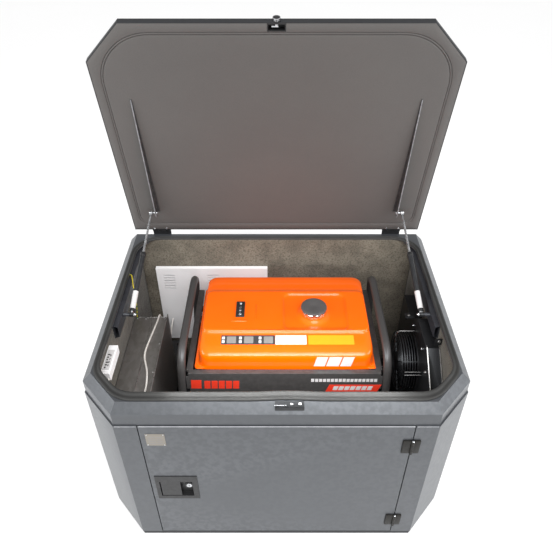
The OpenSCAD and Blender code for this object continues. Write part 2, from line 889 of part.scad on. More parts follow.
module key_switch() color("#202020") {
  rod_y(key_switch_at[0], [panel_y[0] - 1, panel_y[0] + 12], key_switch_at[1], 5);
  rod_y(key_switch_at[0], [panel_y[0] - 6, panel_y[0] - 0.5], key_switch_at[1], 13);
  block(
    [key_switch_at[0] - 3, key_switch_at[0] + 3], [panel_y[0] - 16, panel_y[0] - 6],
    [key_switch_at[1] - 11, key_switch_at[1] + 11]
  );
}

module breaker_switch() color("#0f0f10") {
  rod_x([breaker_at[0] - 10, breaker_at[0] + 10], panel_y[0] + 4, breaker_at[1], 11);
  block(
    [breaker_at[0] - 4, breaker_at[0] + 4], [panel_y[0] - 14, panel_y[0] - 3],
    [breaker_at[1] - 3, breaker_at[1] + 3]
  );
}

choke_at = [285, 350];

module engine_block() color("#8d9092") {
  difference() {
    union() {
      block([80, 300], [-60, 160], [80, 290]);
      block([110, 250], [-20, 120], [290, 330]);
      for (z = [332 : 12 : 404])
        block([95, 265], [-35, 135], [z, z + 5]);
      block([115, 245], [-15, 115], [330, 430]);
      block([262, 300], [-100, -60], [330, 370]);
      block([262, 300], [-62, 60], [330, 345]);
      block([262, 300], [-60, 60], [289, 331]);
    }
    rod_x([79, 301], crank_y, crank_z, shaft_r + fit);
    rod_y(choke_at[0], [-101, -80], choke_at[1], 3 + fit);
  }
  difference() {
    rod_x([300, 345], crank_y, crank_z, 124);
    rod_x([299, 342], crank_y, crank_z, 121);
    block([318, 328], [-80, -66], [crank_z - 5, crank_z + 5]);
  }
}

module recoil_handle() color("#101010") {
  block([302, 344], [-95, -79], [crank_z - 11, crank_z + 11]);
  rod_y(323, [-79, -72], crank_z, 3);
}

module air_filter() color("#161617") {
  block([100, 250], [-150, -62], [300, 328]);
  block([104, 246], [-146, -62], [328, 430]);
}

module muffler() color("#7b7d7f") {
  difference() {
    union() {
      rod_x([90, 320], 215, exhaust_z, 45);
      rod_y(exhaust_x, [215, rear_y - 44], exhaust_z, exhaust_r - 2);
      rod_y(exhaust_x, [rear_y - 44, rear_y + 8], exhaust_z, exhaust_r);
    }
    rod_x([93, 317], 215, exhaust_z, 42);
    rod_y(exhaust_x, [215, rear_y + 9], exhaust_z, exhaust_r - 3.5);
  }
}

module alternator() color("#9a9c9e")
  difference() {
    rod_x([-270, 80], crank_y, crank_z, 112);
    rod_x([-250, 60], crank_y, crank_z, rotor_r + 4);
    rod_x([-271, 81], crank_y, crank_z, shaft_r + fit);
  }

module rotor_shaft() color("#b5b7b9") {
  rod_x([-280, 330], crank_y, crank_z, shaft_r);
  rod_x([-220, 40], crank_y, crank_z, rotor_r);
  rod_x([306, 326], crank_y, crank_z, 105);
}

module choke_lever() color("#1a1a1a") {
  rod_y(choke_at[0], [-110, -82], choke_at[1], 3);
  hull() {
    rod_y(choke_at[0], [-106, -101], choke_at[1], 6);
    rod_y(choke_at[0] + 34, [-106, -101], choke_at[1] + 8, 5);
  }
}

module battery() color("#1d1f22") {
  block([-545, -419], [190, 378], [panel_z0, 172]);
  for (y = [216, 352])
    rod_z(-445, y, [172, 186], 8);
}

base_frame();
rubber_feet();
front_panel();
left_side_panel();
right_side_panel();
rear_panel();
top_rim();
rim_seal();
felt_lining();
side_channels();
striker();
cabinet_screws();
lid_hinge_bases();
door_hinge_bases();
cable_gland();
lid_shell();
lid_liner();
lid_brackets();
lid_hinge_leaves();
lid_lock_case();
lid_lock_hook();
left_strut_tube();
left_strut_rod();
right_strut_tube();
right_strut_rod();
door_panel();
door_insulation();
door_hinge_leaves();
nameplate();
lock_housing();
lock_paddle();
key_cylinder();
latch_bolt();
electrical_box();
left_duct();
right_duct();
fan_guard();
fan_rotor();
driver_box();
lamp_cable();
ground_wire();
left_hoop();
right_hoop();
frame_rails();
front_plate();
fuel_tank();
fuel_cap();
fuel_gauge();
control_panel();
panel_instruments();
key_switch();
breaker_switch();
engine_block();
recoil_handle();
air_filter();
muffler();
alternator();
rotor_shaft();
choke_lever();
battery();
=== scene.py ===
import json
import math

import bmesh
import bpy
from mathutils import Matrix, Vector, noise


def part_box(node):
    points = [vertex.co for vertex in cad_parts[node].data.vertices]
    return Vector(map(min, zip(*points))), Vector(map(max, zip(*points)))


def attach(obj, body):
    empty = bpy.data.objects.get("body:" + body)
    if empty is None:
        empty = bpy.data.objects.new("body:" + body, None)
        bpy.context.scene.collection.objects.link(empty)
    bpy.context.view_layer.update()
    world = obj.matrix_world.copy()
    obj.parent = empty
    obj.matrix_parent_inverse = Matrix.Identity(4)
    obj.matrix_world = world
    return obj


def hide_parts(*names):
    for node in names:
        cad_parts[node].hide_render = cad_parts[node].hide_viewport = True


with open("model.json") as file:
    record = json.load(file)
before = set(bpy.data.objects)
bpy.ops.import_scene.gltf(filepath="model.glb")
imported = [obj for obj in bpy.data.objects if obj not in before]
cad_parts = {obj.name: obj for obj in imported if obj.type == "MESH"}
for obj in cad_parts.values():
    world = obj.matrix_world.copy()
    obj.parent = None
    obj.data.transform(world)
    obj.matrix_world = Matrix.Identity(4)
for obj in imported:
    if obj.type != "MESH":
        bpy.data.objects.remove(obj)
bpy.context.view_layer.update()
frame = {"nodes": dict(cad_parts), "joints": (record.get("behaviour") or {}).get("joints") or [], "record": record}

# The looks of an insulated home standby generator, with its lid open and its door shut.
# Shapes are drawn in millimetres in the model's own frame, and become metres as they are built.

MM = 0.001
UP = Vector((0, 0, 1))


def box_mm(node):
    """Lowest and highest corner of a CAD node, in millimetres."""
    low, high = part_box(node)
    return Vector(low) / MM, Vector(high) / MM


def joint(name):
    return next(j for j in frame["joints"] if j["name"] == name)


# ---- camera ----

CAMERA_AT = (0.0, -1.466, 2.0295)
CAMERA_TILT = 51.21
CAMERA_LENS = 36.8


def make_camera():
    data = bpy.data.cameras.new("camera")
    data.lens = CAMERA_LENS
    data.sensor_width = 36
    data.clip_end = 60
    camera = bpy.data.objects.new("camera", data)
    camera.location = CAMERA_AT
    camera.rotation_euler = (math.radians(CAMERA_TILT), 0, 0)
    bpy.context.scene.collection.objects.link(camera)
    bpy.context.scene.camera = camera


make_camera()

# ---- materials ----


class Material:
    """A Principled material; keyword names are socket names with _ for a space."""

    def __init__(self, name, **constants):
        self.data = bpy.data.materials.new(name)
        self.data.use_nodes = True
        self.tree = self.data.node_tree
        self.shader = self.tree.nodes["Principled BSDF"]
        for socket, value in constants.items():
            self.shader.inputs[socket.replace("_", " ")].default_value = value
        self.place = self.add("TexCoord").outputs["Object"]

    def add(self, kind, **settings):
        node = self.tree.nodes.new("ShaderNode" + kind)
        for key, value in settings.items():
            setattr(node, key, value)
        return node

    def feed(self, socket, source):
        if isinstance(source, bpy.types.NodeSocket):
            self.tree.links.new(source, socket)
        else:
            socket.default_value = source

    def stretched(self, scale):
        node = self.add("Mapping")
        self.feed(node.inputs["Vector"], self.place)
        node.inputs["Scale"].default_value = scale
        return node.outputs["Vector"]

    def noise(self, scale, detail=3.0, stretch=None):
        node = self.add("TexNoise")
        self.feed(node.inputs["Vector"], self.stretched(stretch) if stretch else self.place)
        node.inputs["Scale"].default_value = scale
        node.inputs["Detail"].default_value = detail
        return node.outputs["Fac"]

    def cells(self, scale, output="Distance", stretch=None):
        node = self.add("TexVoronoi")
        self.feed(node.inputs["Vector"], self.stretched(stretch) if stretch else self.place)
        node.inputs["Scale"].default_value = scale
        return node.outputs[output]

    def span(self, source, low, high, out_low=0.0, out_high=1.0):
        node = self.add("MapRange")
        self.feed(node.inputs["Value"], source)
        for socket, value in zip(node.inputs[1:5], (low, high, out_low, out_high)):
            socket.default_value = value
        return node.outputs["Result"]

    def math(self, operation, a, b):
        node = self.add("Math", operation=operation)
        self.feed(node.inputs[0], a)
        self.feed(node.inputs[1], b)
        return node.outputs[0]

    def mix(self, share, a, b):
        node = self.add("Mix", data_type="RGBA")
        self.feed(node.inputs["Factor"], share)
        self.feed(node.inputs[6], a)
        self.feed(node.inputs[7], b)
        return node.outputs[2]

    def worn_edges(self, amount=0.5):
        """High along outside edges, broken up by noise."""
        sharp = self.add("NewGeometry").outputs["Pointiness"]
        edges = self.span(sharp, 0.52, 0.62, 0, amount)
        return self.math("MULTIPLY", edges, self.span(self.noise(60), 0.4, 0.6))

    def along_z(self):
        node = self.add("SeparateXYZ")
        self.feed(node.inputs[0], self.place)
        return node.outputs["Z"]

    def finish(self, colour=None, roughness=None, heights=()):
        """Plugs in what varies; heights are (source, strength, distance in metres)."""
        if colour is not None:
            self.feed(self.shader.inputs["Base Color"], colour)
        if roughness is not None:
            self.feed(self.shader.inputs["Roughness"], roughness)
        normal = None
        for source, strength, distance in heights:
            node = self.add("Bump")
            node.inputs["Strength"].default_value = strength
            node.inputs["Distance"].default_value = distance
            self.feed(node.inputs["Height"], source)
            if normal is not None:
                self.feed(node.inputs["Normal"], normal)
            normal = node.outputs["Normal"]
        if normal is not None:
            self.feed(self.shader.inputs["Normal"], normal)
        return self.data


def shade(colour, factor):
    return tuple(min(1.0, c * factor) for c in colour) + (1.0,)


def powder_coat(name, colour, rough=0.42, metal=0.0, gloss=0.5, texture=0.02):
    """Powder-coated steel: faint mottling, fine flecks of painted glint, orange-peel texture, rubbed edges."""
    m = Material(name, Metallic=metal, Specular_IOR_Level=gloss, Specular_Tint=(0.90, 0.95, 1.0, 1.0))
    mottled = m.mix(m.span(m.noise(3, 2), 0.3, 0.7), shade(colour, 0.97), shade(colour, 1.03))
    # Flecks at twice the colour: painted glints of the coat's sparkle.
    painted_glint = m.span(m.cells(900, "Color"), 0.80, 0.90)
    glint_flecked = m.mix(m.math("MULTIPLY", painted_glint, 0.03), mottled, shade(colour, 2.0))
    worn = m.mix(m.worn_edges(0.35), glint_flecked, shade(colour, 2.4))
    roughness = m.span(m.noise(150, 2), 0.3, 0.7, rough - 0.010, rough + 0.010)
    return m.finish(worn, roughness, [(m.noise(620, 2), texture, 0.0003)])


def plastic(name, colour, rough=0.5, grain=0.12, scale=650):
    m = Material(name)
    base = m.mix(m.span(m.noise(14), 0.35, 0.65), shade(colour, 0.86), shade(colour, 1.14))
    base = m.mix(m.worn_edges(0.3), base, shade(colour, 2.0))
    roughness = m.span(m.noise(80), 0.3, 0.7, rough - 0.06, rough + 0.08)
    return m.finish(base, roughness, [(m.cells(scale), grain, 0.0004)])


def metal(name, colour, rough=0.3, brush=None, scale=90, dent=0.05):
    """Bare or plated metal; brush stretches the scratches along one direction."""
    m = Material(name, Metallic=1.0)
    grain = m.noise(scale, 5, stretch=brush)
    base = m.mix(m.span(grain, 0.3, 0.7), shade(colour, 0.85), shade(colour, 1.1))
    roughness = m.span(grain, 0.3, 0.7, rough - 0.07, rough + 0.1)
    return m.finish(base, roughness, [(grain, dent, 0.0006)])


def felt_material(name, tone):
    """Needle felt: brown patches, pale fibres and dark pits; tone makes it lighter or darker."""
    m = Material(name, Sheen_Weight=0.2, Sheen_Roughness=0.5)
    low, high = shade((0.094, 0.080, 0.058), tone), shade((0.187, 0.163, 0.124), tone)
    patch = m.mix(m.span(m.noise(16, 4), 0.36, 0.64), low, high)
    fibre = m.noise(330, 4, stretch=(1, 1, 2.4))
    base = m.mix(m.span(fibre, 0.4, 0.75, 0, 0.55), patch, shade((0.33, 0.30, 0.24), tone))
    dark = m.mix(m.span(m.cells(150), 0.45, 0.8, 0, 0.6), base, (0.06, 0.05, 0.035, 1))
    return m.finish(dark, 0.95, [(m.noise(70, 3), 0.6, 0.003), (fibre, 0.8, 0.0015)])


def liner_material():
    """Dark warm grey acoustic sheet with a fine leathery grain."""
    m = Material("liner", Sheen_Weight=0.1)
    base = m.mix(m.span(m.noise(5), 0.3, 0.7), (0.109, 0.102, 0.098, 1), (0.116, 0.109, 0.104, 1))
    grain = m.cells(520)
    base = m.mix(m.span(grain, 0.2, 0.7, 0, 0.3), base, (0.072, 0.067, 0.064, 1))
    roughness = m.span(m.noise(30), 0.3, 0.7, 0.64, 0.70)
    return m.finish(base, roughness, [(grain, 0.22, 0.0005), (m.noise(9), 0.15, 0.004)])


def enamel(name, colour, coat=0.0, rough=0.3, peel=0.03, gloss=0.5):
    """Gloss enamel with a faint orange peel."""
    m = Material(name, Coat_Weight=coat, Coat_Roughness=0.06, Specular_IOR_Level=gloss)
    base = m.mix(m.span(m.noise(6), 0.3, 0.7), shade(colour, 0.97), shade(colour, 1.03))
    dust = m.span(m.noise(260, 4), 0.62, 0.8, 0, 0.12)
    base = m.mix(dust, base, shade(colour, 0.7))
    roughness = m.span(m.noise(90), 0.3, 0.7, rough - 0.04, rough + 0.05)
    return m.finish(base, roughness, [(m.noise(170, 1), peel, 0.001)])


def galvanised_material():
    """Zinc-coated sheet: spangle crystals, a dull film and roll marks along the duct."""
    m = Material("galvanised", Metallic=0.75)
    spangle = m.cells(85, "Color", stretch=(1, 0.6, 1))
    base = m.mix(m.span(spangle, 0.2, 0.9), (0.27, 0.255, 0.24, 1), (0.34, 0.325, 0.31, 1))
    film = m.span(m.noise(5, 3, stretch=(1, 0.1, 1)), 0.35, 0.7, 0, 0.45)
    base = m.mix(film, base, (0.17, 0.15, 0.14, 1))
    marks = m.noise(140, 3, stretch=(1, 0.02, 1))
    return m.finish(base, m.span(spangle, 0, 1, 0.34, 0.52), [(marks, 0.12, 0.0006)])


BANDS_PER_METRE = 42.0


def striped_wire():
    """Yellow insulation with green bands that follow each other up the wire."""
    m = Material("yellow_green", Roughness=0.42)
    band = m.math("FRACT", m.math("MULTIPLY", m.along_z(), BANDS_PER_METRE), 0.0)
    base = m.mix(m.span(band, 0.58, 0.66), (0.62, 0.50, 0.03, 1), (0.03, 0.20, 0.05, 1))
    return m.finish(base, None, [(m.noise(400), 0.1, 0.0002)])


def muffler_material():
    """Steel that has browned in patches from heat."""
    m = Material("muffler", Metallic=0.9)
    heat = m.span(m.noise(11, 4), 0.3, 0.7)
    base = m.mix(heat, (0.30, 0.27, 0.24, 1), (0.17, 0.11, 0.07, 1))
    return m.finish(base, m.span(m.noise(60, 4), 0.3, 0.7, 0.4, 0.65), [(m.noise(200), 0.2, 0.0006)])


def cast_material():
    """Sand-cast aluminium with a pebbled skin."""
    m = Material("cast", Metallic=0.85)
    base = m.mix(m.span(m.noise(24, 5), 0.3, 0.7), (0.33, 0.34, 0.35, 1), (0.47, 0.48, 0.49, 1))
    return m.finish(base, m.span(m.noise(110), 0.3, 0.7, 0.42, 0.6), [(m.noise(330, 4), 0.35, 0.0008)])


def brushed_plate():
    """Beige anodised plate, brushed along X."""
    m = Material("beige_plate", Metallic=0.45)
    lines = m.noise(260, 3, stretch=(0.05, 1, 1))
    base = m.mix(m.span(lines, 0.3, 0.7), (0.255, 0.232, 0.200, 1), (0.300, 0.275, 0.240, 1))
    return m.finish(base, m.span(lines, 0.3, 0.7, 0.34, 0.5), [(lines, 0.08, 0.0004)])


def label(name, colour, rough=0.4):
    """Printed film under a thin clear coat."""
    m = Material(name, Coat_Weight=0.3, Coat_Roughness=0.15)
    base = m.mix(m.span(m.noise(35, 4), 0.3, 0.7), shade(colour, 0.95), shade(colour, 1.04))
    return m.finish(base, rough, [(m.noise(240), 0.05, 0.0003)])


GRAPHITE = (0.055, 0.0575, 0.063)

# One finish for each material slot of the part.
FINISHES = {
    "base_black": powder_coat("base_black", (0.012, 0.012, 0.014), 0.5),
    "graphite_paint": powder_coat("graphite", GRAPHITE, 0.34, 0.1, 0.95),
    # Graphite darkened to near black on the lid: painted shade.
    "lid_paint": powder_coat("lid_graphite_painted_shade", (0.018, 0.018, 0.020), 0.42),
    "liner_grey": liner_material(),
    "rubber": plastic("rubber", (0.030, 0.030, 0.029), 0.62, 0.05, 420),
    "felt": felt_material("felt", 1.0),
    "channel_paint": powder_coat("channel", (0.036, 0.037, 0.043), 0.34, 0.1),
    "hardware_black": powder_coat("hardware_black", (0.016, 0.016, 0.017), 0.38, 0.1),
    "zinc": metal("zinc", (0.62, 0.63, 0.65), 0.26),
    "black_plastic": plastic("black_plastic", (0.017, 0.017, 0.018), 0.42),
    "plate_beige": brushed_plate(),
    "white_enamel": enamel("white_enamel", (0.97, 0.96, 0.97), 0.0, 0.38),
    "galvanised": galvanised_material(),
    "duct_black": powder_coat("duct_black", (0.014, 0.014, 0.015), 0.34, 0.1),
    "cable_white": plastic("cable_white", (0.66, 0.63, 0.59), 0.42, 0.04),
    "earth_wire": striped_wire(),
    "frame_grey": powder_coat("frame_grey", (0.056, 0.053, 0.052), 0.38, 0.1),
    "tank_orange": enamel("tank_orange", (1.0, 0.130, 0.0), 0.7, 0.32, 0.02, 0.2),
    "cap_dark": plastic("cap_grey", (0.085, 0.080, 0.079), 0.5, 0.1),
    "instrument_grey": enamel("instrument_grey", (0.38, 0.38, 0.37), 0.0, 0.4),
    "cast_aluminium": cast_material(),
    "muffler_steel": muffler_material(),
    "machined_steel": metal("machined_steel", (0.48, 0.49, 0.50), 0.28, (0.1, 1, 1)),
}

# Finishes of details, which differ from their slot's own.
# Felt at half tone for the side walls: painted shade.
PAINTED_SHADE_FELT = felt_material("felt_painted_shade", 0.5)
# Near-black fin paint: painted shade on the fins' inner faces.
FIN_PAINT_SHADED = powder_coat("fin_paint_shaded", (0.040, 0.039, 0.039), 0.45)
# Light grey strip along the fins' free edges: painted highlight.
FIN_HIGHLIGHT = powder_coat("fin_edge_highlight", (0.20, 0.20, 0.21), 0.4)
BAR_STEEL = metal("bar_steel", (0.30, 0.295, 0.29), 0.42)
HINGE_BLACK = powder_coat("hinge_black", (0.013, 0.011, 0.008), 0.5, 0.0, 0.35)
# Light bluish grey on the door's and panel's top bends: painted highlight.
BEND_HIGHLIGHT = powder_coat("bend_highlight", (0.42, 0.43, 0.46), 0.3)
# Bare steel for sheet edges; on the intake duct's fold it is also a painted highlight, lighter than the galvanised
# sheet.
RAW_EDGE_AND_HIGHLIGHT = metal("raw_edge_and_highlight", (0.55, 0.54, 0.53), 0.32)
CHROME = metal("chrome", (0.80, 0.80, 0.80), 0.09, scale=30, dent=0.02)
DARK_LABEL = label("dark_label", (0.045, 0.043, 0.045))
GREY_LABEL = label("grey_label", (0.24, 0.23, 0.22))
WHITE_LABEL = label("white_label", (0.66, 0.64, 0.64))
YELLOW_LABEL = label("yellow_label", (0.74, 0.33, 0.008))
RED_LABEL = label("red_label", (0.80, 0.045, 0.020))

# ---- shapes ----


class Shape:
    """Closed solids gathered into one mesh, in millimetres."""

    def __init__(self):
        self.bm = bmesh.new()
        self.turn = Matrix.Identity(4)
        self.paint = 0

    def point(self, p):
        return self.bm.verts.new(self.turn @ Vector(p))

    def skin(self, loops, caps=True, ring=False):
        """A surface through loops of equally many points, capped at both ends or closed on itself."""
        rows = [[self.point(p) for p in loop] for loop in loops]
        pairs = list(zip(rows, rows[1:]))
        if ring:
            pairs.append((rows[-1], rows[0]))
        made = [
            self.bm.faces.new((a[i], a[(i + 1) % len(a)], b[(i + 1) % len(a)], b[i]))
            for a, b in pairs
            for i in range(len(a))
        ]
        if caps and not ring:
            made.append(self.bm.faces.new(rows[0][::-1]))
            made.append(self.bm.faces.new(rows[-1]))
        for face in made:
            face.material_index = self.paint
        return made

    def block(self, low, high, round_by=0.0, steps=2):
        x, y, z = zip(low, high)
        loops = [[(x[0], y[0], h), (x[1], y[0], h), (x[1], y[1], h), (x[0], y[1], h)] for h in z]
        edges = {e for f in self.skin(loops) for e in f.edges}
        if round_by:
            bmesh.ops.bevel(
                self.bm, geom=list(edges), offset=round_by, segments=steps, profile=0.5, affect="EDGES",
                material=self.paint,
            )

    def turned(self, base, axis, profile, sides=32, shape=None):
        """A lathe: profile is (radius, height) from base along axis. shape scales the radius by angle."""
        axis = Vector(axis).normalized()
        side = axis.orthogonal().normalized()
        other = axis.cross(side)
        loops = []
        for k, (radius, height) in enumerate(profile):
            loop = []
            for i in range(sides):
                a = 2 * math.pi * i / sides
                r = radius * (shape(k, a) if shape else 1)
                out = side * (r * math.cos(a)) + other * (r * math.sin(a))
                loop.append(Vector(base) + axis * height + out)
            loops.append(loop)
        return self.skin(loops)

    def tube(self, path, radius, sides=12):
        """A round bar along a path, with its sections carried along without twist."""
        path = [Vector(p) for p in path]
        loops = []
        side = None
        for k, p in enumerate(path):
            ahead = (path[min(k + 1, len(path) - 1)] - path[max(k - 1, 0)]).normalized()
            side = ahead.orthogonal() if side is None else side - ahead * side.dot(ahead)
            side.normalize()
            other = ahead.cross(side)
            ring = [2 * math.pi * i / sides for i in range(sides)]
            loops.append([p + radius * (math.cos(a) * side + math.sin(a) * other) for a in ring])
        self.skin(loops)

    def bolt(self, at, axis, radius, height):
        """A button-head screw with a hexagonal socket."""
        # shares of the radius and of the height; the last two rows are the socket
        rows = [(1, 0), (1, 0.35), (0.94, 0.62), (0.75, 0.88), (0.50, 1), (0.47, 1), (0.45, 0.45)]
        profile = [(radius * r, height * h) for r, h in rows]

        def hexagon(k, a):
            return 1 / (1 + 0.13 * abs(math.sin(3 * a))) if k >= len(rows) - 2 else 1

        self.turned(at, axis, profile, 24, hexagon)

    def object(self, name, body, materials, slot=None, sharp=35.0, levels=0):
        """Turns the solids into one piece that rides on body; levels smooth it by subdivision."""
        bmesh.ops.recalc_face_normals(self.bm, faces=self.bm.faces)
        bmesh.ops.scale(self.bm, vec=(MM, MM, MM), verts=self.bm.verts)
        mesh = bpy.data.meshes.new(name)
        self.bm.to_mesh(mesh)
        self.bm.free()
        mesh.shade_smooth()
        mesh.set_sharp_from_angle(angle=math.radians(sharp))
        for material in materials if isinstance(materials, list) else [materials]:
            mesh.materials.append(material)
        piece = bpy.data.objects.new(name, mesh)
        bpy.context.scene.collection.objects.link(piece)
        if levels:
            smooth = piece.modifiers.new("smooth", "SUBSURF")
            smooth.levels = smooth.render_levels = levels
        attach(piece, body)
        return piece


def rounded(corners, radii, steps=8):
    """A convex or notched outline with an arc of its own radius at each corner; radius 0 keeps the corner."""
    outline = []
    count = len(corners)
    for i, corner in enumerate(corners):
        radius = radii[i]
        p = Vector(corner)
        if not radius:
            outline.append(p)
            continue
        back = (Vector(corners[i - 1]) - p).normalized()
        on = (Vector(corners[(i + 1) % count]) - p).normalized()
        half = back.angle(on) / 2
        centre = p + (back + on).normalized() * (radius / math.sin(half))
        start = p + back * (radius / math.tan(half)) - centre
        sweep = math.pi - 2 * half
        turn = 1 if back.cross(on) < 0 else -1
        for k in range(steps + 1):
            a = turn * sweep * k / steps
            c, s = math.cos(a), math.sin(a)
            outline.append(centre + Vector((start.x * c - start.y * s, start.x * s + start.y * c)))
    return outline


def plan(half, front, rear, cut_x, cut_y, i=0.0):
    """The cabinet-shaped outline of part.scad: front corners cut off, drawn in by i."""
    slant = math.hypot(cut_x, cut_y)
    inner_x = -half + cut_x + i * (slant - cut_x) / cut_y
    inner_y = front + cut_y + i * (slant - cut_y) / cut_x
    return [
        (-half + i, rear - i), (-half + i, inner_y), (inner_x, front + i),
        (-inner_x, front + i), (half - i, inner_y), (half - i, rear - i),
    ]


def at_height(outline, z):
    return [(p[0], p[1], z) for p in outline]


def at_width(outline, x):
    return [(x, p[0], p[1]) for p in outline]


# ---- cords: the lead from the electrical box to the driver box, and the earth wire ----

LEAD_D = 7.0
LEAD_ROUTE = [
    (-462, 385, 300), (-462, 368, 300), (-462, 351, 298), (-462, 334, 293), (-462, 317, 287),
    (-462, 299, 282), (-461, 281, 280), (-460, 263, 283), (-459, 246, 292), (-458, 232, 305),
    (-457, 220, 321), (-456, 210, 339), (-456, 202, 358), (-456, 196, 378), (-456, 191, 399),
    (-456, 187, 420), (-456, 184, 441), (-456, 182, 462), (-457, 181, 483), (-458, 180, 501),
    (-459, 176, 514), (-460, 166, 520.5), (-461, 152, 520.2), (-463, 132, 518.7), (-466, 108, 518.7),
    (-469, 84, 518.7), (-472, 60, 518.7), (-475, 36, 518.7), (-478, 10, 518.7), (-480, -14, 518.7),
    (-480, -36, 518.7), (-477, -57, 518.7), (-470, -80, 518.7), (-462, -104, 518.7),
    (-456, -128, 518.7), (-452, -152, 518.7), (-449, -178, 518.7), (-448, -204, 518.7),
    (-448, -228, 519.5), (-450, -250, 522), (-454, -270, 527), (-460, -287, 535), (-468, -301, 546),
    (-478, -311, 559), (-489, -317, 573), (-500, -319, 588), (-510, -317, 603), (-518, -312, 617),
    (-525, -305, 629), (-530, -298, 638), (-533, -291, 645), (-534, -284, 649), (-534, -278, 650),
    (-534, -272, 650),
]
EARTH_D = 4.0
EARTH_ROUTE = [
    (-556, 196, 704), (-551, 196, 704), (-546, 193, 702.5), (-541, 182, 700.5),
    (-536, 165, 698.6), (-531, 146, 696.8), (-527.5, 134, 694), (-525.5, 130, 687),
    (-525, 129, 676), (-525, 130, 662), (-526, 132, 648), (-527, 134, 634), (-529, 137, 620),
    (-531, 140, 606), (-533, 143, 592), (-535, 146, 578), (-537, 149, 564), (-540, 152, 550),
    (-542, 155, 537), (-543.5, 156.5, 527), (-544, 157, 521), (-544, 157, 518),
]


def cord_piece(name, node, route, diameter, slot):
    """A cord as a smooth curve through its route, standing for the CAD node of the same route."""
    data = bpy.data.curves.new(name, "CURVE")
    data.dimensions = "3D"
    data.bevel_depth = diameter / 2 * MM
    data.bevel_resolution = 5
    data.resolution_u = 6
    data.use_fill_caps = True
    line = data.splines.new("BEZIER")
    line.bezier_points.add(len(route) - 1)
    for knot, p in zip(line.bezier_points, route):
        knot.co = Vector(p) * MM
        knot.handle_left_type = knot.handle_right_type = "AUTO"
    data.materials.append(FINISHES[slot])
    piece = bpy.data.objects.new(name, data)
    bpy.context.scene.collection.objects.link(piece)
    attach(piece, "cabinet")
    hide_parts(node)


cord_piece("white_lead", "lamp_cable", LEAD_ROUTE, LEAD_D, "cable_white")
cord_piece("earth_wire", "ground_wire", EARTH_ROUTE, EARTH_D, "earth_wire")

# ---- CAD nodes: finish and softened edges ----

# Width of the softened edge of each CAD node, in millimetres.
EDGE = {
    "base_frame": 1.0, "front_panel": 0.9, "left_side_panel": 0.9, "right_side_panel": 0.9, "rear_panel": 0.8,
    "top_rim": 0.9, "side_channels": 0.7, "striker": 0.5, "lid_shell": 1.2, "lid_brackets": 0.5,
    "door_panel": 1.0, "nameplate": 0.3, "lock_housing": 1.0, "lock_paddle": 0.8, "electrical_box": 0.9,
    "left_duct": 0.6, "right_duct": 0.8, "driver_box": 2.0, "frame_rails": 1.5, "front_plate": 0.7,
    "control_panel": 1.5, "engine_block": 1.6, "air_filter": 3.0, "battery": 3.0, "recoil_handle": 2.5,
    "lid_lock_case": 0.6, "choke_lever": 0.5, "key_switch": 0.5, "breaker_switch": 0.5,
    "panel_instruments": 0.8, "door_hinge_leaves": 0.4, "door_hinge_bases": 0.4, "lid_hinge_leaves": 0.4,
    "lid_hinge_bases": 0.4, "latch_bolt": 0.5, "cable_gland": 0.8, "lid_lock_hook": 0.5,
    "cabinet_screws": 0.6, "alternator": 1.5, "rotor_shaft": 0.8, "rubber_feet": 1.0,
    "key_cylinder": 0.4, "muffler": 0.8,
}
# Nodes whose flat faces aren't merged before their edges are softened.
RINGED = ("top_rim", "right_duct", "control_panel")


def dress_node(node, piece, slot):
    """Gives a CAD node its finish and, where EDGE says so, soft edges."""
    piece.data.materials.clear()
    piece.data.materials.append(FINISHES[slot])
    if node not in EDGE:
        return
    weld = piece.modifiers.new("weld", "WELD")
    weld.merge_threshold = 2e-6
    if node not in RINGED:
        flat = piece.modifiers.new("flat", "DECIMATE")
        flat.decimate_type = "DISSOLVE"
        flat.angle_limit = math.radians(0.5)
    bevel = piece.modifiers.new("bevel", "BEVEL")
    bevel.width = EDGE[node] * MM
    bevel.segments = 2
    bevel.limit_method = "ANGLE"
    bevel.angle_limit = math.radians(40)
    bevel.harden_normals = True


for row in frame["record"]["subparts"]:
    dress_node(row["node"], frame["nodes"][row["node"]], row["material_slot"])

# ---- floor and light, in metres ----

FLOOR_HALF = 14
WORLD_LIGHT = 0.455
KEY_LIGHT = 2.3
KEY_SPREAD = 40
KEY_FROM = (0.10, -0.56, 0.82)
SIDE_LIGHT = 48.0
SIDE_AT = Vector((3.1, -0.95, 2.1))
SIDE_AIM = Vector((0.4, -0.35, 0.7))
FILL_LIGHT = 2.5
FILL_AT = (0.03, -0.37, 0.80)
FILL_AIM = (0.03, -0.1, 0.56)


def make_floor():
    bm = bmesh.new()
    bmesh.ops.create_grid(bm, x_segments=4, y_segments=4, size=FLOOR_HALF)
    mesh = bpy.data.meshes.new("floor")
    bm.to_mesh(mesh)
    bm.free()
    m = Material("floor", Specular_IOR_Level=0.2)
    white = m.mix(m.noise(0.8), (0.94, 0.94, 0.94, 1), (0.96, 0.96, 0.96, 1))
    mesh.materials.append(m.finish(white, 0.7))
    floor = bpy.data.objects.new("floor", mesh)
    bpy.context.scene.collection.objects.link(floor)


def softbox(name, at, aim, width, height, power):
    """A rectangular light that the camera doesn't see, aimed at a point."""
    data = bpy.data.lights.new(name, "AREA")
    data.shape = "RECTANGLE"
    data.size = width
    data.size_y = height
    data.energy = power
    light = bpy.data.objects.new(name, data)
    light.location = at
    light.rotation_euler = (Vector(aim) - Vector(at)).to_track_quat("-Z", "Y").to_euler()
    light.visible_camera = False
    bpy.context.scene.collection.objects.link(light)


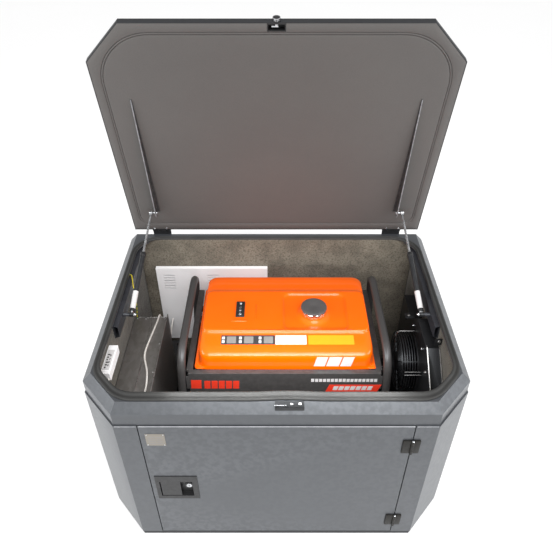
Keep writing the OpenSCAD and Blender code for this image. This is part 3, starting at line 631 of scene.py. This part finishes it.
def make_light():
    world = bpy.data.worlds.new("studio")
    world.use_nodes = True
    sky = world.node_tree.nodes["Background"].inputs
    sky["Color"].default_value = (1, 1, 1, 1)
    sky["Strength"].default_value = WORLD_LIGHT
    bpy.context.scene.world = world
    bpy.context.scene.view_settings.view_transform = "Standard"
    data = bpy.data.lights.new("key", "SUN")
    data.energy = KEY_LIGHT
    data.angle = math.radians(KEY_SPREAD)
    key = bpy.data.objects.new("key", data)
    key.rotation_euler = Vector(KEY_FROM).to_track_quat("Z", "Y").to_euler()
    bpy.context.scene.collection.objects.link(key)
    for side in (-1, 1):
        mirror = Matrix.Diagonal((side, 1, 1))
        softbox("side", mirror @ SIDE_AT, mirror @ SIDE_AIM, 1.8, 1.2, SIDE_LIGHT)
    softbox("inside", FILL_AT, FILL_AIM, 0.7, 0.10, FILL_LIGHT)


make_floor()
make_light()

# ---- seal on the rim ----

SEAL_CUT = (99, 110)
SEAL_R = 110
# The rim's opening, as plan() takes it.
OPENING = (550, -380, 407, 84, 94)
OPENING_R = 90
SEAL_TOUCH = 1.0
# (share of the way from the outer to the inner outline, height over the rim)
SEAL_PROFILE = [
    (0.0, 0.0), (0.0, 3.6), (0.05, 4.8), (0.14, 5.6), (0.26, 5.3), (0.34, 3.9), (0.41, 2.9), (0.50, 2.6),
    (0.58, 3.0), (0.64, 4.2), (0.72, 5.6), (0.82, 6.0), (0.92, 5.3), (0.98, 3.8), (1.0, 2.0), (1.0, 0.0),
]
# The stretch of the front edge where the seal bulges inward, and how far.
BUMP_X = (-92, 158)
BUMP_IN = 4.0
BUMP_STEPS = 16


def with_stops(outline, stops):
    """Adds a point on the front edge at each x in stops, so that it can be pushed in there."""
    front = min(p[1] for p in outline)
    first = max(i for i, p in enumerate(outline) if abs(p[1] - front) < 1e-6 and p[0] < stops[0])
    return outline[: first + 1] + [Vector((x, front)) for x in stops] + outline[first + 1 :]


def make_seal():
    """The rubber strip: a double lip swept round the rim, pushed in for a stretch at the front."""
    low, high = box_mm("rim_seal")
    stops = [BUMP_X[0] + (BUMP_X[1] - BUMP_X[0]) * k / BUMP_STEPS for k in range(BUMP_STEPS + 1)]
    outer = with_stops(rounded(plan(high.x, low.y, high.y, *SEAL_CUT), [SEAL_R] * 6), stops)
    inner = with_stops(rounded(plan(*OPENING, i=SEAL_TOUCH), [OPENING_R] * 6), stops)

    def pushed(p):
        share = (p.x - BUMP_X[0]) / (BUMP_X[1] - BUMP_X[0])
        lift = math.sin(math.pi * share) ** 2 if 0 < share < 1 and p.y < 0 else 0
        return Vector((p.x, p.y + BUMP_IN * lift))

    loops = []
    for share, height in SEAL_PROFILE:
        ring = [pushed(a.lerp(b, share)) for a, b in zip(outer, inner)]
        loops.append(at_height(ring, low.z + height))
    shape = Shape()
    shape.skin(loops, ring=True)
    piece = shape.object("rim_seal_strip", "cabinet", FINISHES["rubber"], "rubber", 50)
    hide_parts("rim_seal")


make_seal()

# ---- felt on the rear and side walls ----

FELT_CELL = 9.0
FELT_SWELL = 1.6
FELT_BACK = 30.0
FELT_SIDE = 8.0
FELT_SHOULDER = 635.0
FELT_OFF_WALL = 42.0
FELT_REAR_FACE = 402
EXHAUST_AT = (250, 320)
FELT_HOLE_HALF = 26


def felt_board(shape, corner, across, up, inward, thick, holes=()):
    """A board whose inner face is a grid that rises and falls; holes are (u, v, half size) along its face."""
    length, height = Vector(across).length, Vector(up).length
    stops = []
    for span, k in ((length, 0), (height, 1)):
        edges = {0.0, span} | {h[k] + s * h[2] for h in holes for s in (-1, 1)}
        marks = sorted(edges)
        line = []
        for a, b in zip(marks, marks[1:]):
            count = max(1, round((b - a) / FELT_CELL))
            line += [a + (b - a) * j / count for j in range(count)]
        stops.append(line + [span])
    u_axis, v_axis, w_axis = (Vector(v).normalized() for v in (across, up, inward))
    grid = []
    for v in stops[1]:
        row = []
        for u in stops[0]:
            p = Vector(corner) + u_axis * u + v_axis * v
            edge = min(u, length - u, v, height - v, 12.0) / 12.0
            swell = noise.noise(p * 0.012) + 0.6 * noise.noise(p * 0.05) + 0.5 * noise.noise(p * 0.13)
            row.append(shape.point(p + w_axis * ((FELT_SWELL * swell + 0.6) * edge - 1.2)))
        grid.append(row)
    faces = []
    for j, v in enumerate(stops[1][:-1]):
        for i, u in enumerate(stops[0][:-1]):
            mid = ((u + stops[0][i + 1]) / 2, (v + stops[1][j + 1]) / 2)
            if any(abs(mid[0] - h[0]) < h[2] and abs(mid[1] - h[1]) < h[2] for h in holes):
                continue
            face = shape.bm.faces.new((grid[j][i], grid[j][i + 1], grid[j + 1][i + 1], grid[j + 1][i]))
            face.material_index = shape.paint
            faces.append(face)
    backs = bmesh.ops.extrude_face_region(shape.bm, geom=faces)
    new = [e for e in backs["geom"] if isinstance(e, bmesh.types.BMVert)]
    for vert in new:
        vert.co = vert.co - w_axis * thick
    loose = [v for v in shape.bm.verts if not v.link_faces]
    bmesh.ops.delete(shape.bm, geom=loose, context="VERTS")


def make_felt():
    """A rear board with holes for the cable and the exhaust, and two layers on each side in felt darkened as
    painted shade.
    """
    low, high = box_mm("felt_lining")
    wall_x = high.x - FELT_OFF_WALL
    depth = FELT_REAR_FACE - low.y
    height = high.z - low.z
    gland_low, gland_high = box_mm("cable_gland")
    gland = (gland_low + gland_high) / 2
    holes = [(x + wall_x, z - low.z, FELT_HOLE_HALF) for x, z in ((gland.x, gland.z), EXHAUST_AT)]
    shape = Shape()
    rear_corner = (-wall_x, FELT_REAR_FACE, low.z)
    felt_board(shape, rear_corner, (2 * wall_x, 0, 0), (0, 0, height), (0, -1, 0), FELT_BACK, holes)
    # The side boards take the half-tone felt: painted shade.
    shape.paint = 1
    for side in (-1, 1):
        corner = (side * wall_x, low.y, low.z)
        felt_board(shape, corner, (0, depth, 0), (0, 0, height - 1), (-side, 0, 0), FELT_SIDE)
        x = sorted((side * (wall_x + 6), side * (high.x - 1)))
        shape.block((x[0], low.y, low.z), (x[1], FELT_REAR_FACE, FELT_SHOULDER))
    piece = shape.object("felt_boards", "cabinet", [FINISHES["felt"], PAINTED_SHADE_FELT], "felt", 60)
    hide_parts("felt_lining")


make_felt()

# ---- lid: liner with its pressed double line, and screws along its rear edge ----

lid_joint = joint("lid_swing")
HINGE = Vector(lid_joint["pos_m"]) / MM
OPEN_ANGLE = math.radians(lid_joint["range_deg"][1])
TURNED_OPEN = (
    Matrix.Translation(HINGE) @ Matrix.Rotation(-OPEN_ANGLE, 4, "X") @ Matrix.Translation(-HINGE)
)
LID_HALF = 568
LID_FRONT = -439
LID_REAR = 428
LID_CUT = (118, 122)
LID_Z = 723.6
LID_DEEP = 18
SKIN = 2.0
CASE_HALF = 27.4
CASE_DEEP = 27.4
GROOVE_IN = 30.0
LINER_SCREWS_X = (-489, -441, 441, 489)
SHELL_SCREWS_X = (-449, -220, 0, 220, 449)


def liner_outline(i, radius_front, radius_rear, notch):
    """The liner's outline drawn in by i, with four more points round the lock case at the front."""
    corners = plan(LID_HALF, LID_FRONT, LID_REAR, *LID_CUT, i=i)
    front = LID_FRONT + i
    inner = LID_FRONT + CASE_DEEP if notch else front
    stops = [(-CASE_HALF, front), (-CASE_HALF + 0.1, inner), (CASE_HALF - 0.1, inner), (CASE_HALF, front)]
    corners = corners[:3] + stops + corners[3:]
    radii = [radius_rear] + [radius_front] * 2 + [0] * 4 + [radius_front] * 2 + [radius_rear]
    return rounded(corners, radii)


def make_liner():
    """The liner and its pressed double line, drawn as rings from its edge inward."""
    # (drawn in by, front corner radius, rear corner radius, notch, height over the liner's face)
    rings = [
        (SKIN, 2, 2, True, LID_DEEP), (SKIN, 2, 2, True, 1.2), (SKIN + 1.2, 3, 3, True, 0.0),
    ]
    # (how far inside the groove's start, height)
    groove = [
        (-2.0, 0.0), (-0.6, 0.5), (0.6, 3.2), (1.9, 0.3), (3.6, -0.4), (5.3, 0.3), (6.6, 3.2),
        (7.8, 0.5), (9.6, 0.0),
    ]
    rings += [(GROOVE_IN + i, 166, 40, False, h) for i, h in groove]
    rings += [(GROOVE_IN + 14.0, 158, 40, False, -0.2), (GROOVE_IN + 40.0, 128, 40, False, -0.4)]
    shape = Shape()
    shape.turn = TURNED_OPEN
    shape.skin([at_height(liner_outline(i, a, b, notch), LID_Z + h) for i, a, b, notch, h in rings])
    piece = shape.object("lid_liner_panel", "lid", FINISHES["liner_grey"], "liner_grey", 50)
    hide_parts("lid_liner")


def make_lid_screws():
    """Screws by the hinges on the liner's side, and a row along the rear edge of the shell's top."""
    shape = Shape()
    shape.turn = TURNED_OPEN
    for x in LINER_SCREWS_X:
        shape.bolt((x, LID_REAR - 7, LID_Z - 0.1), -UP, 4.2, 2.0)
    for x in SHELL_SCREWS_X:
        shape.bolt((x, LID_REAR - 9, LID_Z + 22), UP, 5, 1.8)
    shape.object("lid_screws", "lid", FINISHES["zinc"], "zinc")


make_liner()
make_lid_screws()

# ---- fuel tank ----

TANK_X = (-271, 336)
TOP_Z = 648
RECESS = (22, 256, -45, 153)
CAP_AT = Vector((134, 44, 0))
NECK_R = 31
STRIP_Y = (-98, -60)
LABELS_X = [(-192, -5), (-4, 104), (110, 268)]
GREY_FIELDS_X = (-172, -112, -44)
WHITE_FIELDS_X = (-189, -130, -62)
ACCENTS_X = ((128, 166), (171, 214), (219, 256))


def rounded_box(x0, x1, y0, y1, radius, steps=6, straight=6):
    """A rectangle with round corners, and points along its straight sides."""
    outline = rounded([(x0, y1), (x0, y0), (x1, y0), (x1, y1)], [radius] * 4, steps)
    full = []
    for i, p in enumerate(outline):
        full.append(p)
        if (i + 1) % (steps + 1) == 0:
            q = outline[(i + 1) % len(outline)]
            full += [p.lerp(q, k / (straight + 1)) for k in range(1, straight + 1)]
    return full


def make_tank():
    """Layers of outlines from the bottom up over the shoulders, then in over the plateau to the neck."""
    x0, x1 = TANK_X
    # (height, drawn in by at the sides, y0, y1, corner radius)
    layers = [
        (456, 8, -130, 274, 30), (457, 3, -135, 279, 34), (462, 0, -138, 282, 36), (545, 0, -139, 282, 36),
        (551, 0, -139.5, 282, 36), (552, -15, -140, 290, 12), (555, -15, -140, 290, 12),
        (556, -1, -140, 283, 34), (564, 0.5, -140, 282, 36), (598, 2, -140, 282, 36),
        (608, 3, -139.5, 284, 37), (618, 4, -134, 284, 38), (624, 5.5, -121, 279, 38),
        (628, 7, -108, 268, 38), (631.5, 8.5, -90, 252, 36), (636, 8.5, -66, 222, 32),
        (638, 8.8, -54, 188, 28), (641, 9, -50, 176, 26), (646, 10, -47, 168, 24),
        (TOP_Z, 13, -43, 162, 22), (TOP_Z, 18, -38, 156, 20),
    ]
    # (drawn in by, height over the top, corner radius)
    steps = [(-4, 0, 30), (0, -0.6, 28), (4, -4, 25), (8, -7.4, 22), (13, -8, 20)]
    # (radius, height over the top)
    neck = [(66, -8), (60, -7.2), (50, -1), (44, 4), (NECK_R + 4, 6), (NECK_R, 6), (NECK_R, -14)]
    loops = [at_height(rounded_box(x0 + i, x1 - i, c, d, r), z) for z, i, c, d, r in layers]
    a, b, c, d = RECESS
    for inset, rise, radius in steps:
        outline = rounded_box(a + inset, b - inset, c + inset, d - inset, radius)
        loops.append(at_height(outline, TOP_Z + rise))
    turns = [math.atan2(p[1] - CAP_AT.y, p[0] - CAP_AT.x) for p in loops[-1]]
    for radius, rise in neck:
        ring = [CAP_AT + radius * Vector((math.cos(a), math.sin(a), 0)) for a in turns]
        loops.append(at_height(ring, TOP_Z + rise))
    shape = Shape()
    shape.skin(loops)
    piece = shape.object("fuel_tank_shell", "cabinet", FINISHES["tank_orange"], "tank_orange", 180, 1)
    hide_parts("fuel_tank")


def make_tank_marks():
    """Raised ledge and rib beside the gauge."""
    shape = Shape()
    shape.block((-158, -3, TOP_Z - 1), (-105, 4, TOP_Z + 3), 2.4, 3)
    shape.block((-76, 6, TOP_Z - 1), (-72, 88, TOP_Z + 1.4), 1.1, 2)
    shape.object("tank_ribs", "cabinet", FINISHES["tank_orange"], "tank_orange")


def strip_height(y):
    """Height of the sloping front strip of the tank at y."""
    return 631.0 + 4.5 * (y + 90) / 24


def decal(shape, x, y, lift=0.5, thick=0.6):
    """A thin label lying on the tank's sloping front strip."""
    outline = rounded([(x[0], y[1]), (x[0], y[0]), (x[1], y[0]), (x[1], y[1])], [2.0] * 4, 3)
    loops = []
    for dz in (lift - thick, lift):
        loops.append([(p.x, p.y, strip_height(p.y) + dz) for p in outline])
    shape.skin(loops)


def make_decals():
    """Three blank labels side by side, with blank fields on the dark one."""
    shape = Shape()
    for paint, x in enumerate(LABELS_X):
        shape.paint = paint
        decal(shape, x, STRIP_Y)
    shape.paint = 3
    for x in GREY_FIELDS_X:
        decal(shape, (x, x + 32), (-93, -65), 0.8)
    shape.paint = 1
    for x in WHITE_FIELDS_X:
        decal(shape, (x, x + 10), (-77, -66), 0.8)
        decal(shape, (x, x + 10), (-92, -81), 0.8)
    materials = [DARK_LABEL, WHITE_LABEL, YELLOW_LABEL, GREY_LABEL]
    shape.object("tank_labels", "cabinet", materials)


def slanted(shape, x, z, y, lean=0.0, thick=0.6):
    """A thin upright plate on a front face; lean pushes its top along x."""
    outline = [(x[0], z[0]), (x[1], z[0]), (x[1] + lean, z[1]), (x[0] + lean, z[1])]
    shape.skin([[(px, y + dy, pz) for px, pz in outline] for dy in (0, thick)])


def make_front_decals():
    """Blank accent blocks on the tank's front and on the front plate."""
    tank = Shape()
    for x in ACCENTS_X:
        slanted(tank, x, (568, 612), -141.4, 10, 1.6)
    tank.object("tank_accent", "cabinet", WHITE_LABEL)
    y = box_mm("front_plate")[0].y - 0.5
    plate = Shape()
    slanted(plate, (172, 354), (466, 502), y, 12)
    for k in range(5):
        slanted(plate, (-252 + 25 * k, -231 + 25 * k), (482, 522), y, 2)
    slanted(plate, (-298, -262), (482, 526), y, 2)
    plate.paint = 1
    for k in range(17):
        slanted(plate, (120 + 13.6 * k, 130.5 + 13.6 * k), (517, 532), y)
    for k in range(7):
        slanted(plate, (196 + 20 * k, 212 + 20 * k), (474, 494), y - 0.3, 5)
    plate.object("plate_accents", "cabinet", [RED_LABEL, WHITE_LABEL])


def make_cap():
    """Filler cap: a chrome skirt with finger scallops under a ribbed dark top."""

    def scallop(k, a):
        return 1 - 0.055 * max(0.0, math.sin(10 * a)) ** 2 if k in (2, 3, 4, 5) else 1

    def ribs(k, a):
        return 1 + 0.012 * math.sin(60 * a) if k in (1, 2, 3) else 1

    base = (CAP_AT.x, CAP_AT.y, TOP_Z + 7)
    skirt = Shape()
    profile = [(36, 0), (44, 0), (46.5, 1), (47, 4), (47, 12), (46, 17), (44, 19), (38, 19.4)]
    skirt.turned(base, UP, profile, 120, scallop)
    piece = skirt.object("cap_skirt", "tank_cap", CHROME, "zinc")
    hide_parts("fuel_cap")
    top = Shape()
    profile = [(40, 18), (45.6, 18.4), (45.8, 21), (45, 23.6), (42, 25), (36, 25.4), (12, 25.0), (10, 24.6)]
    top.turned(base, UP, profile, 240, ribs)
    top.object("cap_top", "tank_cap", FINISHES["cap_dark"], "cap_dark")


def make_gauge():
    """Fuel gauge: a black body with a raised window, a pointer and two screws."""
    low, high = box_mm("fuel_gauge")
    middle = (low.x + high.x) / 2
    shape = Shape()

    def layer(half, end, bottom, top, edge, steps):
        near = (middle - half, low.y + end, TOP_Z + bottom)
        far = (middle + half, high.y - end, TOP_Z + top)
        shape.block(near, far, edge, steps)

    layer(15.5, 0, -1, 5, 1.6, 3)
    layer(9.5, 24, 4, 6.2, 1.0, 2)
    shape.paint = 1
    layer(4, 28, 5.6, 6.6, 0.4, 1)
    for y in (low.y + 12, high.y - 12):
        shape.bolt((middle, y, TOP_Z + 5), UP, 5.5, 3)
    materials = [FINISHES["black_plastic"], FINISHES["zinc"]]
    piece = shape.object("gauge_body", "cabinet", materials, "black_plastic")
    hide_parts("fuel_gauge")


make_tank()
make_tank_marks()
make_decals()
make_front_decals()
make_cap()
make_gauge()

# ---- lid: strut brackets and the knob's cap ----

FIN_X = (459.6, 462.4)
FIN_HIGHLIGHT_X = (459.3, 462.7)
FIN_REAR = 322
FIN_TIP = -186
STUD_AT = (307.6, 700.4)
STUD = [(7, 0), (7, 3.6), (6, 4), (3.9, 4), (3.9, 10.4), (3.2, 10.9)]


def make_fins():
    """Tapered plates that the struts hold, each with a painted highlight along its edge, a tapering dark strip of
    painted shadow at its foot, and a stud.
    """
    plate = [
        (FIN_REAR, LID_Z), (FIN_REAR, 693), (314, 690.5), (296, 690),
        (FIN_TIP, LID_Z - 3), (FIN_TIP, LID_Z),
    ]
    # Outline of the painted highlight strip along the fin's edge.
    edge = [
        (FIN_REAR, 691), (314, 688.8), (296, 688.4), (FIN_TIP, LID_Z - 4.2),
        (FIN_TIP, LID_Z - 2), (296, 690.6), (FIN_REAR, 693),
    ]
    shape = Shape()
    shape.turn = TURNED_OPEN
    for side in (-1, 1):
        shape.paint = 0
        shape.skin([at_width(plate, side * x) for x in FIN_X])
        outer = side * FIN_X[1]
        # A thin dark wedge on the liner at the fin's foot: painted shadow.
        foot = [(outer, FIN_TIP), (side * 457.5, FIN_TIP), (side * 450, FIN_REAR), (outer, FIN_REAR)]
        shape.skin([at_height(foot, LID_Z - 1.6), at_height(foot, LID_Z)])
        shape.paint = 2
        shape.skin([at_width(edge, side * x) for x in FIN_HIGHLIGHT_X])
        shape.paint = 1
        shape.turned((side * 462, *STUD_AT), (side, 0, 0), STUD, 24)
        shape.bolt((side * 459.8, *STUD_AT), (-side, 0, 0), 6, 4)
    piece = shape.object("lid_fins", "lid", [FIN_PAINT_SHADED, FINISHES["zinc"], FIN_HIGHLIGHT], "channel_paint")
    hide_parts("lid_brackets")


def make_knob_cap():
    """A fluted cap on the lid lock's knob."""

    def grip(k, a):
        return 1 - 0.05 * abs(math.sin(8 * a)) if k in (1, 2) else 1

    shape = Shape()
    shape.turn = TURNED_OPEN
    profile = [(11.3, 0), (11.5, 1), (11.5, 7), (10.4, 9.2), (7, 10.2), (3, 10.5)]
    shape.turned((0, LID_FRONT - 0.6, LID_Z + 11), (0, -1, 0), profile, 96, grip)
    shape.object("lock_knob_cap", "lid_lock", FINISHES["black_plastic"], "black_plastic")


make_fins()
make_knob_cap()

# ---- gas struts: blank sleeve labels, collars and lower fittings ----

STRUT_LOW = Vector(joint("right_strut_swing")["pos_m"]) / MM
STRUT_AXIS = Vector(joint("right_rod_slide")["axis"])
# (radius, distance from the lower pivot along the tube)
SLEEVE_LABEL = [(8.9, 22), (9.7, 22.3), (9.7, 88.7), (8.9, 89)]
TOP_COLLAR = [
    (8.9, 229), (10.4, 229.6), (10.8, 232), (10.8, 240), (10.2, 241), (9.6, 245.5), (6, 247),
]
LOW_COLLAR = [(8.9, 12.4), (9.8, 13), (9.8, 17), (8.9, 17.6)]
LOCK_NUT = [(5.0, 6.2), (6.2, 6.4), (6.2, 11.6), (5.0, 11.8)]


def make_strut_dress(side, name):
    """What is put on a strut's tube: a blank sleeve, two collars and a lock nut."""
    mirror = Matrix.Diagonal((side, 1, 1))
    low, axis = mirror @ STRUT_LOW, mirror @ STRUT_AXIS
    shape = Shape()
    shape.turned(low, axis, SLEEVE_LABEL, 32)
    shape.paint = 1
    shape.turned(low, axis, TOP_COLLAR, 32)
    shape.turned(low, axis, LOW_COLLAR, 32)
    shape.paint = 2
    shape.turned(low, axis, LOCK_NUT, 6)
    materials = [WHITE_LABEL, FINISHES["black_plastic"], FINISHES["zinc"]]
    shape.object(name + "_strut_dress", name + "_strut", materials)


def make_strut_nuts():
    """Domed nuts on the ends of the studs that the struts turn on."""
    shape = Shape()
    for side in (-1, 1):
        at = Vector((side * (STRUT_LOW.x - 8.2), STRUT_LOW.y, STRUT_LOW.z))
        shape.turned(at, (-side, 0, 0), [(6.6, 0), (7, 0.6), (7, 4.4), (6.2, 5)], 6)
        shape.turned(at, (-side, 0, 0), [(4.6, 4.6), (4.6, 6.4), (3.4, 8.2), (1.6, 9.2)], 24)
    shape.object("strut_nuts", "cabinet", FINISHES["zinc"], "zinc")


make_strut_dress(-1, "left")
make_strut_dress(1, "right")
make_strut_nuts()

# ---- left duct: fold, turned edge and screws; driver box label ----

DUCT_TOP = 515
DUCT_FOLD_X = (-487, -483.4)
DUCT_SCREWS_Y = (-250, -120, 20)


def make_duct_details():
    """Bright strips on the intake duct: a painted highlight along the fold at its top, and bare edges on its
    upright lip and its rear edge.
    """
    low, high = box_mm("left_duct")
    top = DUCT_TOP
    fold = DUCT_FOLD_X
    shape = Shape()
    # The fold's strip in bare steel, lighter than the galvanised sheet: painted highlight.
    shape.block((fold[0], low.y + 0.4, top - 0.4), (fold[1], high.y - 0.4, top + 1.5), 0.5, 1)
    shape.block((high.x - 2.6, low.y - 0.3, high.z - 1), (high.x + 0.5, high.y + 0.3, high.z + 0.5), 0.4, 1)
    shape.block((low.x + 0.4, high.y - 1.6, top - 0.4), (high.x - 2.2, high.y + 0.4, top + 0.8), 0.3, 1)
    for y in DUCT_SCREWS_Y:
        shape.bolt((high.x - 13, y, top - 0.2), UP, 4, 2)
    shape.object("duct_edges", "cabinet", RAW_EDGE_AND_HIGHLIGHT, "galvanised")


def make_driver_marks():
    """A blank label on the driver box, with two rows of plain dark blocks."""
    low, high = box_mm("driver_box")
    shape = Shape()
    shape.block((low.x + 5, low.y + 14, high.z - 0.3), (high.x - 5, high.y - 22, high.z + 0.35))
    shape.paint = 1
    for k in range(6):
        y = low.y + 22 + 11 * k
        shape.block((low.x + 8, y, high.z + 0.2), (low.x + 13 + 1.5 * (k % 3), y + 6, high.z + 0.6))
    for k in range(4):
        y = low.y + 30 + 14 * k
        shape.block((high.x - 14, y, high.z + 0.2), (high.x - 11, y + 8, high.z + 0.6))
    shape.object("driver_label", "cabinet", [WHITE_LABEL, DARK_LABEL])


make_duct_details()
make_driver_marks()

# ---- right side: bare edges on the duct's lips, guard bars, brackets and bolts ----

# The lip's outline over the duct's sloping front, as (y, z).
LIP = [
    (-241, 554), (-241, 556.8), (-122.4, 641), (-113.6, 641),
    (-113.6, 639.8), (-122, 639.8), (-239.8, 555.8), (-239.8, 554),
]
BENT_BAR = [
    (444, 26, 470), (444, 30, 535), (445, 33, 556), (450, 34, 564),
    (458, 34, 566), (480, 34, 566), (510, 34, 566),
]
FRONT_BARS_Z = (510, 526)


def make_lip_edges():
    """The bare sheet edge on both sides of the duct's sloping front."""
    low, high = box_mm("right_duct")
    edges = Shape()
    for x in (low.x + 1, high.x - 1):
        edges.skin([at_width(LIP, x - 1.5), at_width(LIP, x + 1.5)])
    edges.object("duct_lip_edges", "cabinet", RAW_EDGE_AND_HIGHLIGHT, "duct_black")


def make_guard_bars():
    """A bent bar and two straight ones by the fan guard, and three bolts."""
    bars = Shape()
    bars.tube(BENT_BAR, 2.2)
    for z in FRONT_BARS_Z:
        bars.tube([(450, -131, z), (480, -131, z), (508, -131, z)], 1.7)
    bars.bolt((510, -163, 561), (-1, 0, 0), 6.5, 5)
    bars.bolt((546, -124, 671), (0, -1, 0.4), 5.5, 4.5)
    bars.bolt((492, 82, 600), UP, 5.5, 4)
    bars.object("guard_bars", "cabinet", BAR_STEEL, "zinc")


def make_small_brackets():
    """The plates under two of the bolts."""
    bracket = Shape()
    bracket.block((532, -124.2, 652), (557, -121.2, 682), 1.0, 2)
    bracket.block((478, 68, 594), (512, 96, 600), 1.5, 2)
    bracket.object("small_brackets", "cabinet", FINISHES["duct_black"], "duct_black")


make_lip_edges()
make_guard_bars()
make_small_brackets()

# ---- front: blank fields on the nameplate, the striker's pin, door hinges and painted highlights on the bends ----

STRIKER_PIN_AT = (-6, -430, 720.5)
STRIKER_PIN = [(2.3, 0), (2.3, 3), (1.75, 3.4), (1.75, 31), (2.3, 31.4), (2.3, 34)]
HINGE_X = 413
HINGE_Y = -450
HINGE_Z = (109, 543)
HINGE_HALF = 31
LEAF_WIDE = (4.2, 30)
PLATE_WIDE = (3.6, 24)
DOOR_KNUCKLE = [(4.4, 0), (5, 0.6), (5, 24), (4.4, 24.6)]
FRAME_KNUCKLE = [(4.4, 0), (5, 0.6), (5, 17.4), (4.4, 18)]
PIN_END = [(3.9, 0), (3.9, 1), (2.8, 2.2), (1.2, 2.6)]
BEND_HALF = 480


def make_nameplate_fields():
    """Blank fields in two columns, and a screw at each corner."""
    low, high = box_mm("nameplate")
    y = low.y
    plate = Shape()
    for k in range(4):
        z = low.z + 9 + 10 * k
        slanted(plate, (low.x + 8, low.x + 30), (z, z + 3.4), y - 0.25, 0, 0.5)
        slanted(plate, (low.x + 34, high.x - 8), (z, z + 3.4), y - 0.25, 0, 0.5)
    plate.paint = 1
    for x in (low.x + 4, high.x - 4):
        for z in (low.z + 4, high.z - 4):
            plate.bolt((x, y, z), (0, -1, 0), 2, 1.2)
    plate.object("nameplate_fields", "door", [GREY_LABEL, FINISHES["zinc"]])


def make_striker_pin():
    pin = Shape()
    pin.turned(STRIKER_PIN_AT, (1, 0, 0), STRIKER_PIN, 20)
    pin.object("striker_pin", "cabinet", FINISHES["zinc"], "zinc")


def make_door_hinges():
    """Thick cast leaves with three knuckles each; the middle knuckle turns with the door."""
    leaf, base, pins = Shape(), Shape(), Shape()
    rear, front = HINGE_Y + 6, HINGE_Y + 0.6
    for z in HINGE_Z:
        bottom, top = z - HINGE_HALF, z + HINGE_HALF
        leaf.block((HINGE_X - LEAF_WIDE[1], front, bottom), (HINGE_X - LEAF_WIDE[0], rear, top), 1.4)
        base.block((HINGE_X + PLATE_WIDE[0], front, bottom), (HINGE_X + PLATE_WIDE[1], rear, top), 1.4)
        leaf.turned((HINGE_X, HINGE_Y, z - 12.3), UP, DOOR_KNUCKLE, 28)
        for foot in (bottom, z + 13):
            base.turned((HINGE_X, HINGE_Y, foot), UP, FRAME_KNUCKLE, 28)
        pins.turned((HINGE_X, HINGE_Y, top - 0.2), UP, PIN_END, 20)
        pins.turned((HINGE_X, HINGE_Y, bottom + 0.2), -UP, PIN_END, 20)
    piece = leaf.object("door_hinge_wings", "door", HINGE_BLACK, "channel_paint")
    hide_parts("door_hinge_leaves")
    piece = base.object("door_hinge_plates", "cabinet", HINGE_BLACK, "channel_paint")
    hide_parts("door_hinge_bases")
    pins.object("hinge_pin_ends", "cabinet", FINISHES["zinc"], "zinc")


def make_bend_highlights():
    """The rounded top bends of the door and of the panel beside it, in light grey as a painted highlight."""
    low, high = box_mm("door_panel")

    def bend_highlight(shape, x0, x1):
        shape.block((x0, low.y - 0.5, high.z - 2.6), (x1, low.y + 1.6, high.z + 0.1), 0.9)

    door = Shape()
    bend_highlight(door, low.x + 1, high.x - 1)
    door.object("door_top_bend_highlight", "door", BEND_HIGHLIGHT)
    panel = Shape()
    bend_highlight(panel, -BEND_HALF, low.x - 3.5)
    bend_highlight(panel, HINGE_X + 3.5, BEND_HALF)
    panel.object("panel_top_bend_highlight", "cabinet", BEND_HIGHLIGHT)


make_nameplate_fields()
make_striker_pin()
make_door_hinges()
make_bend_highlights()
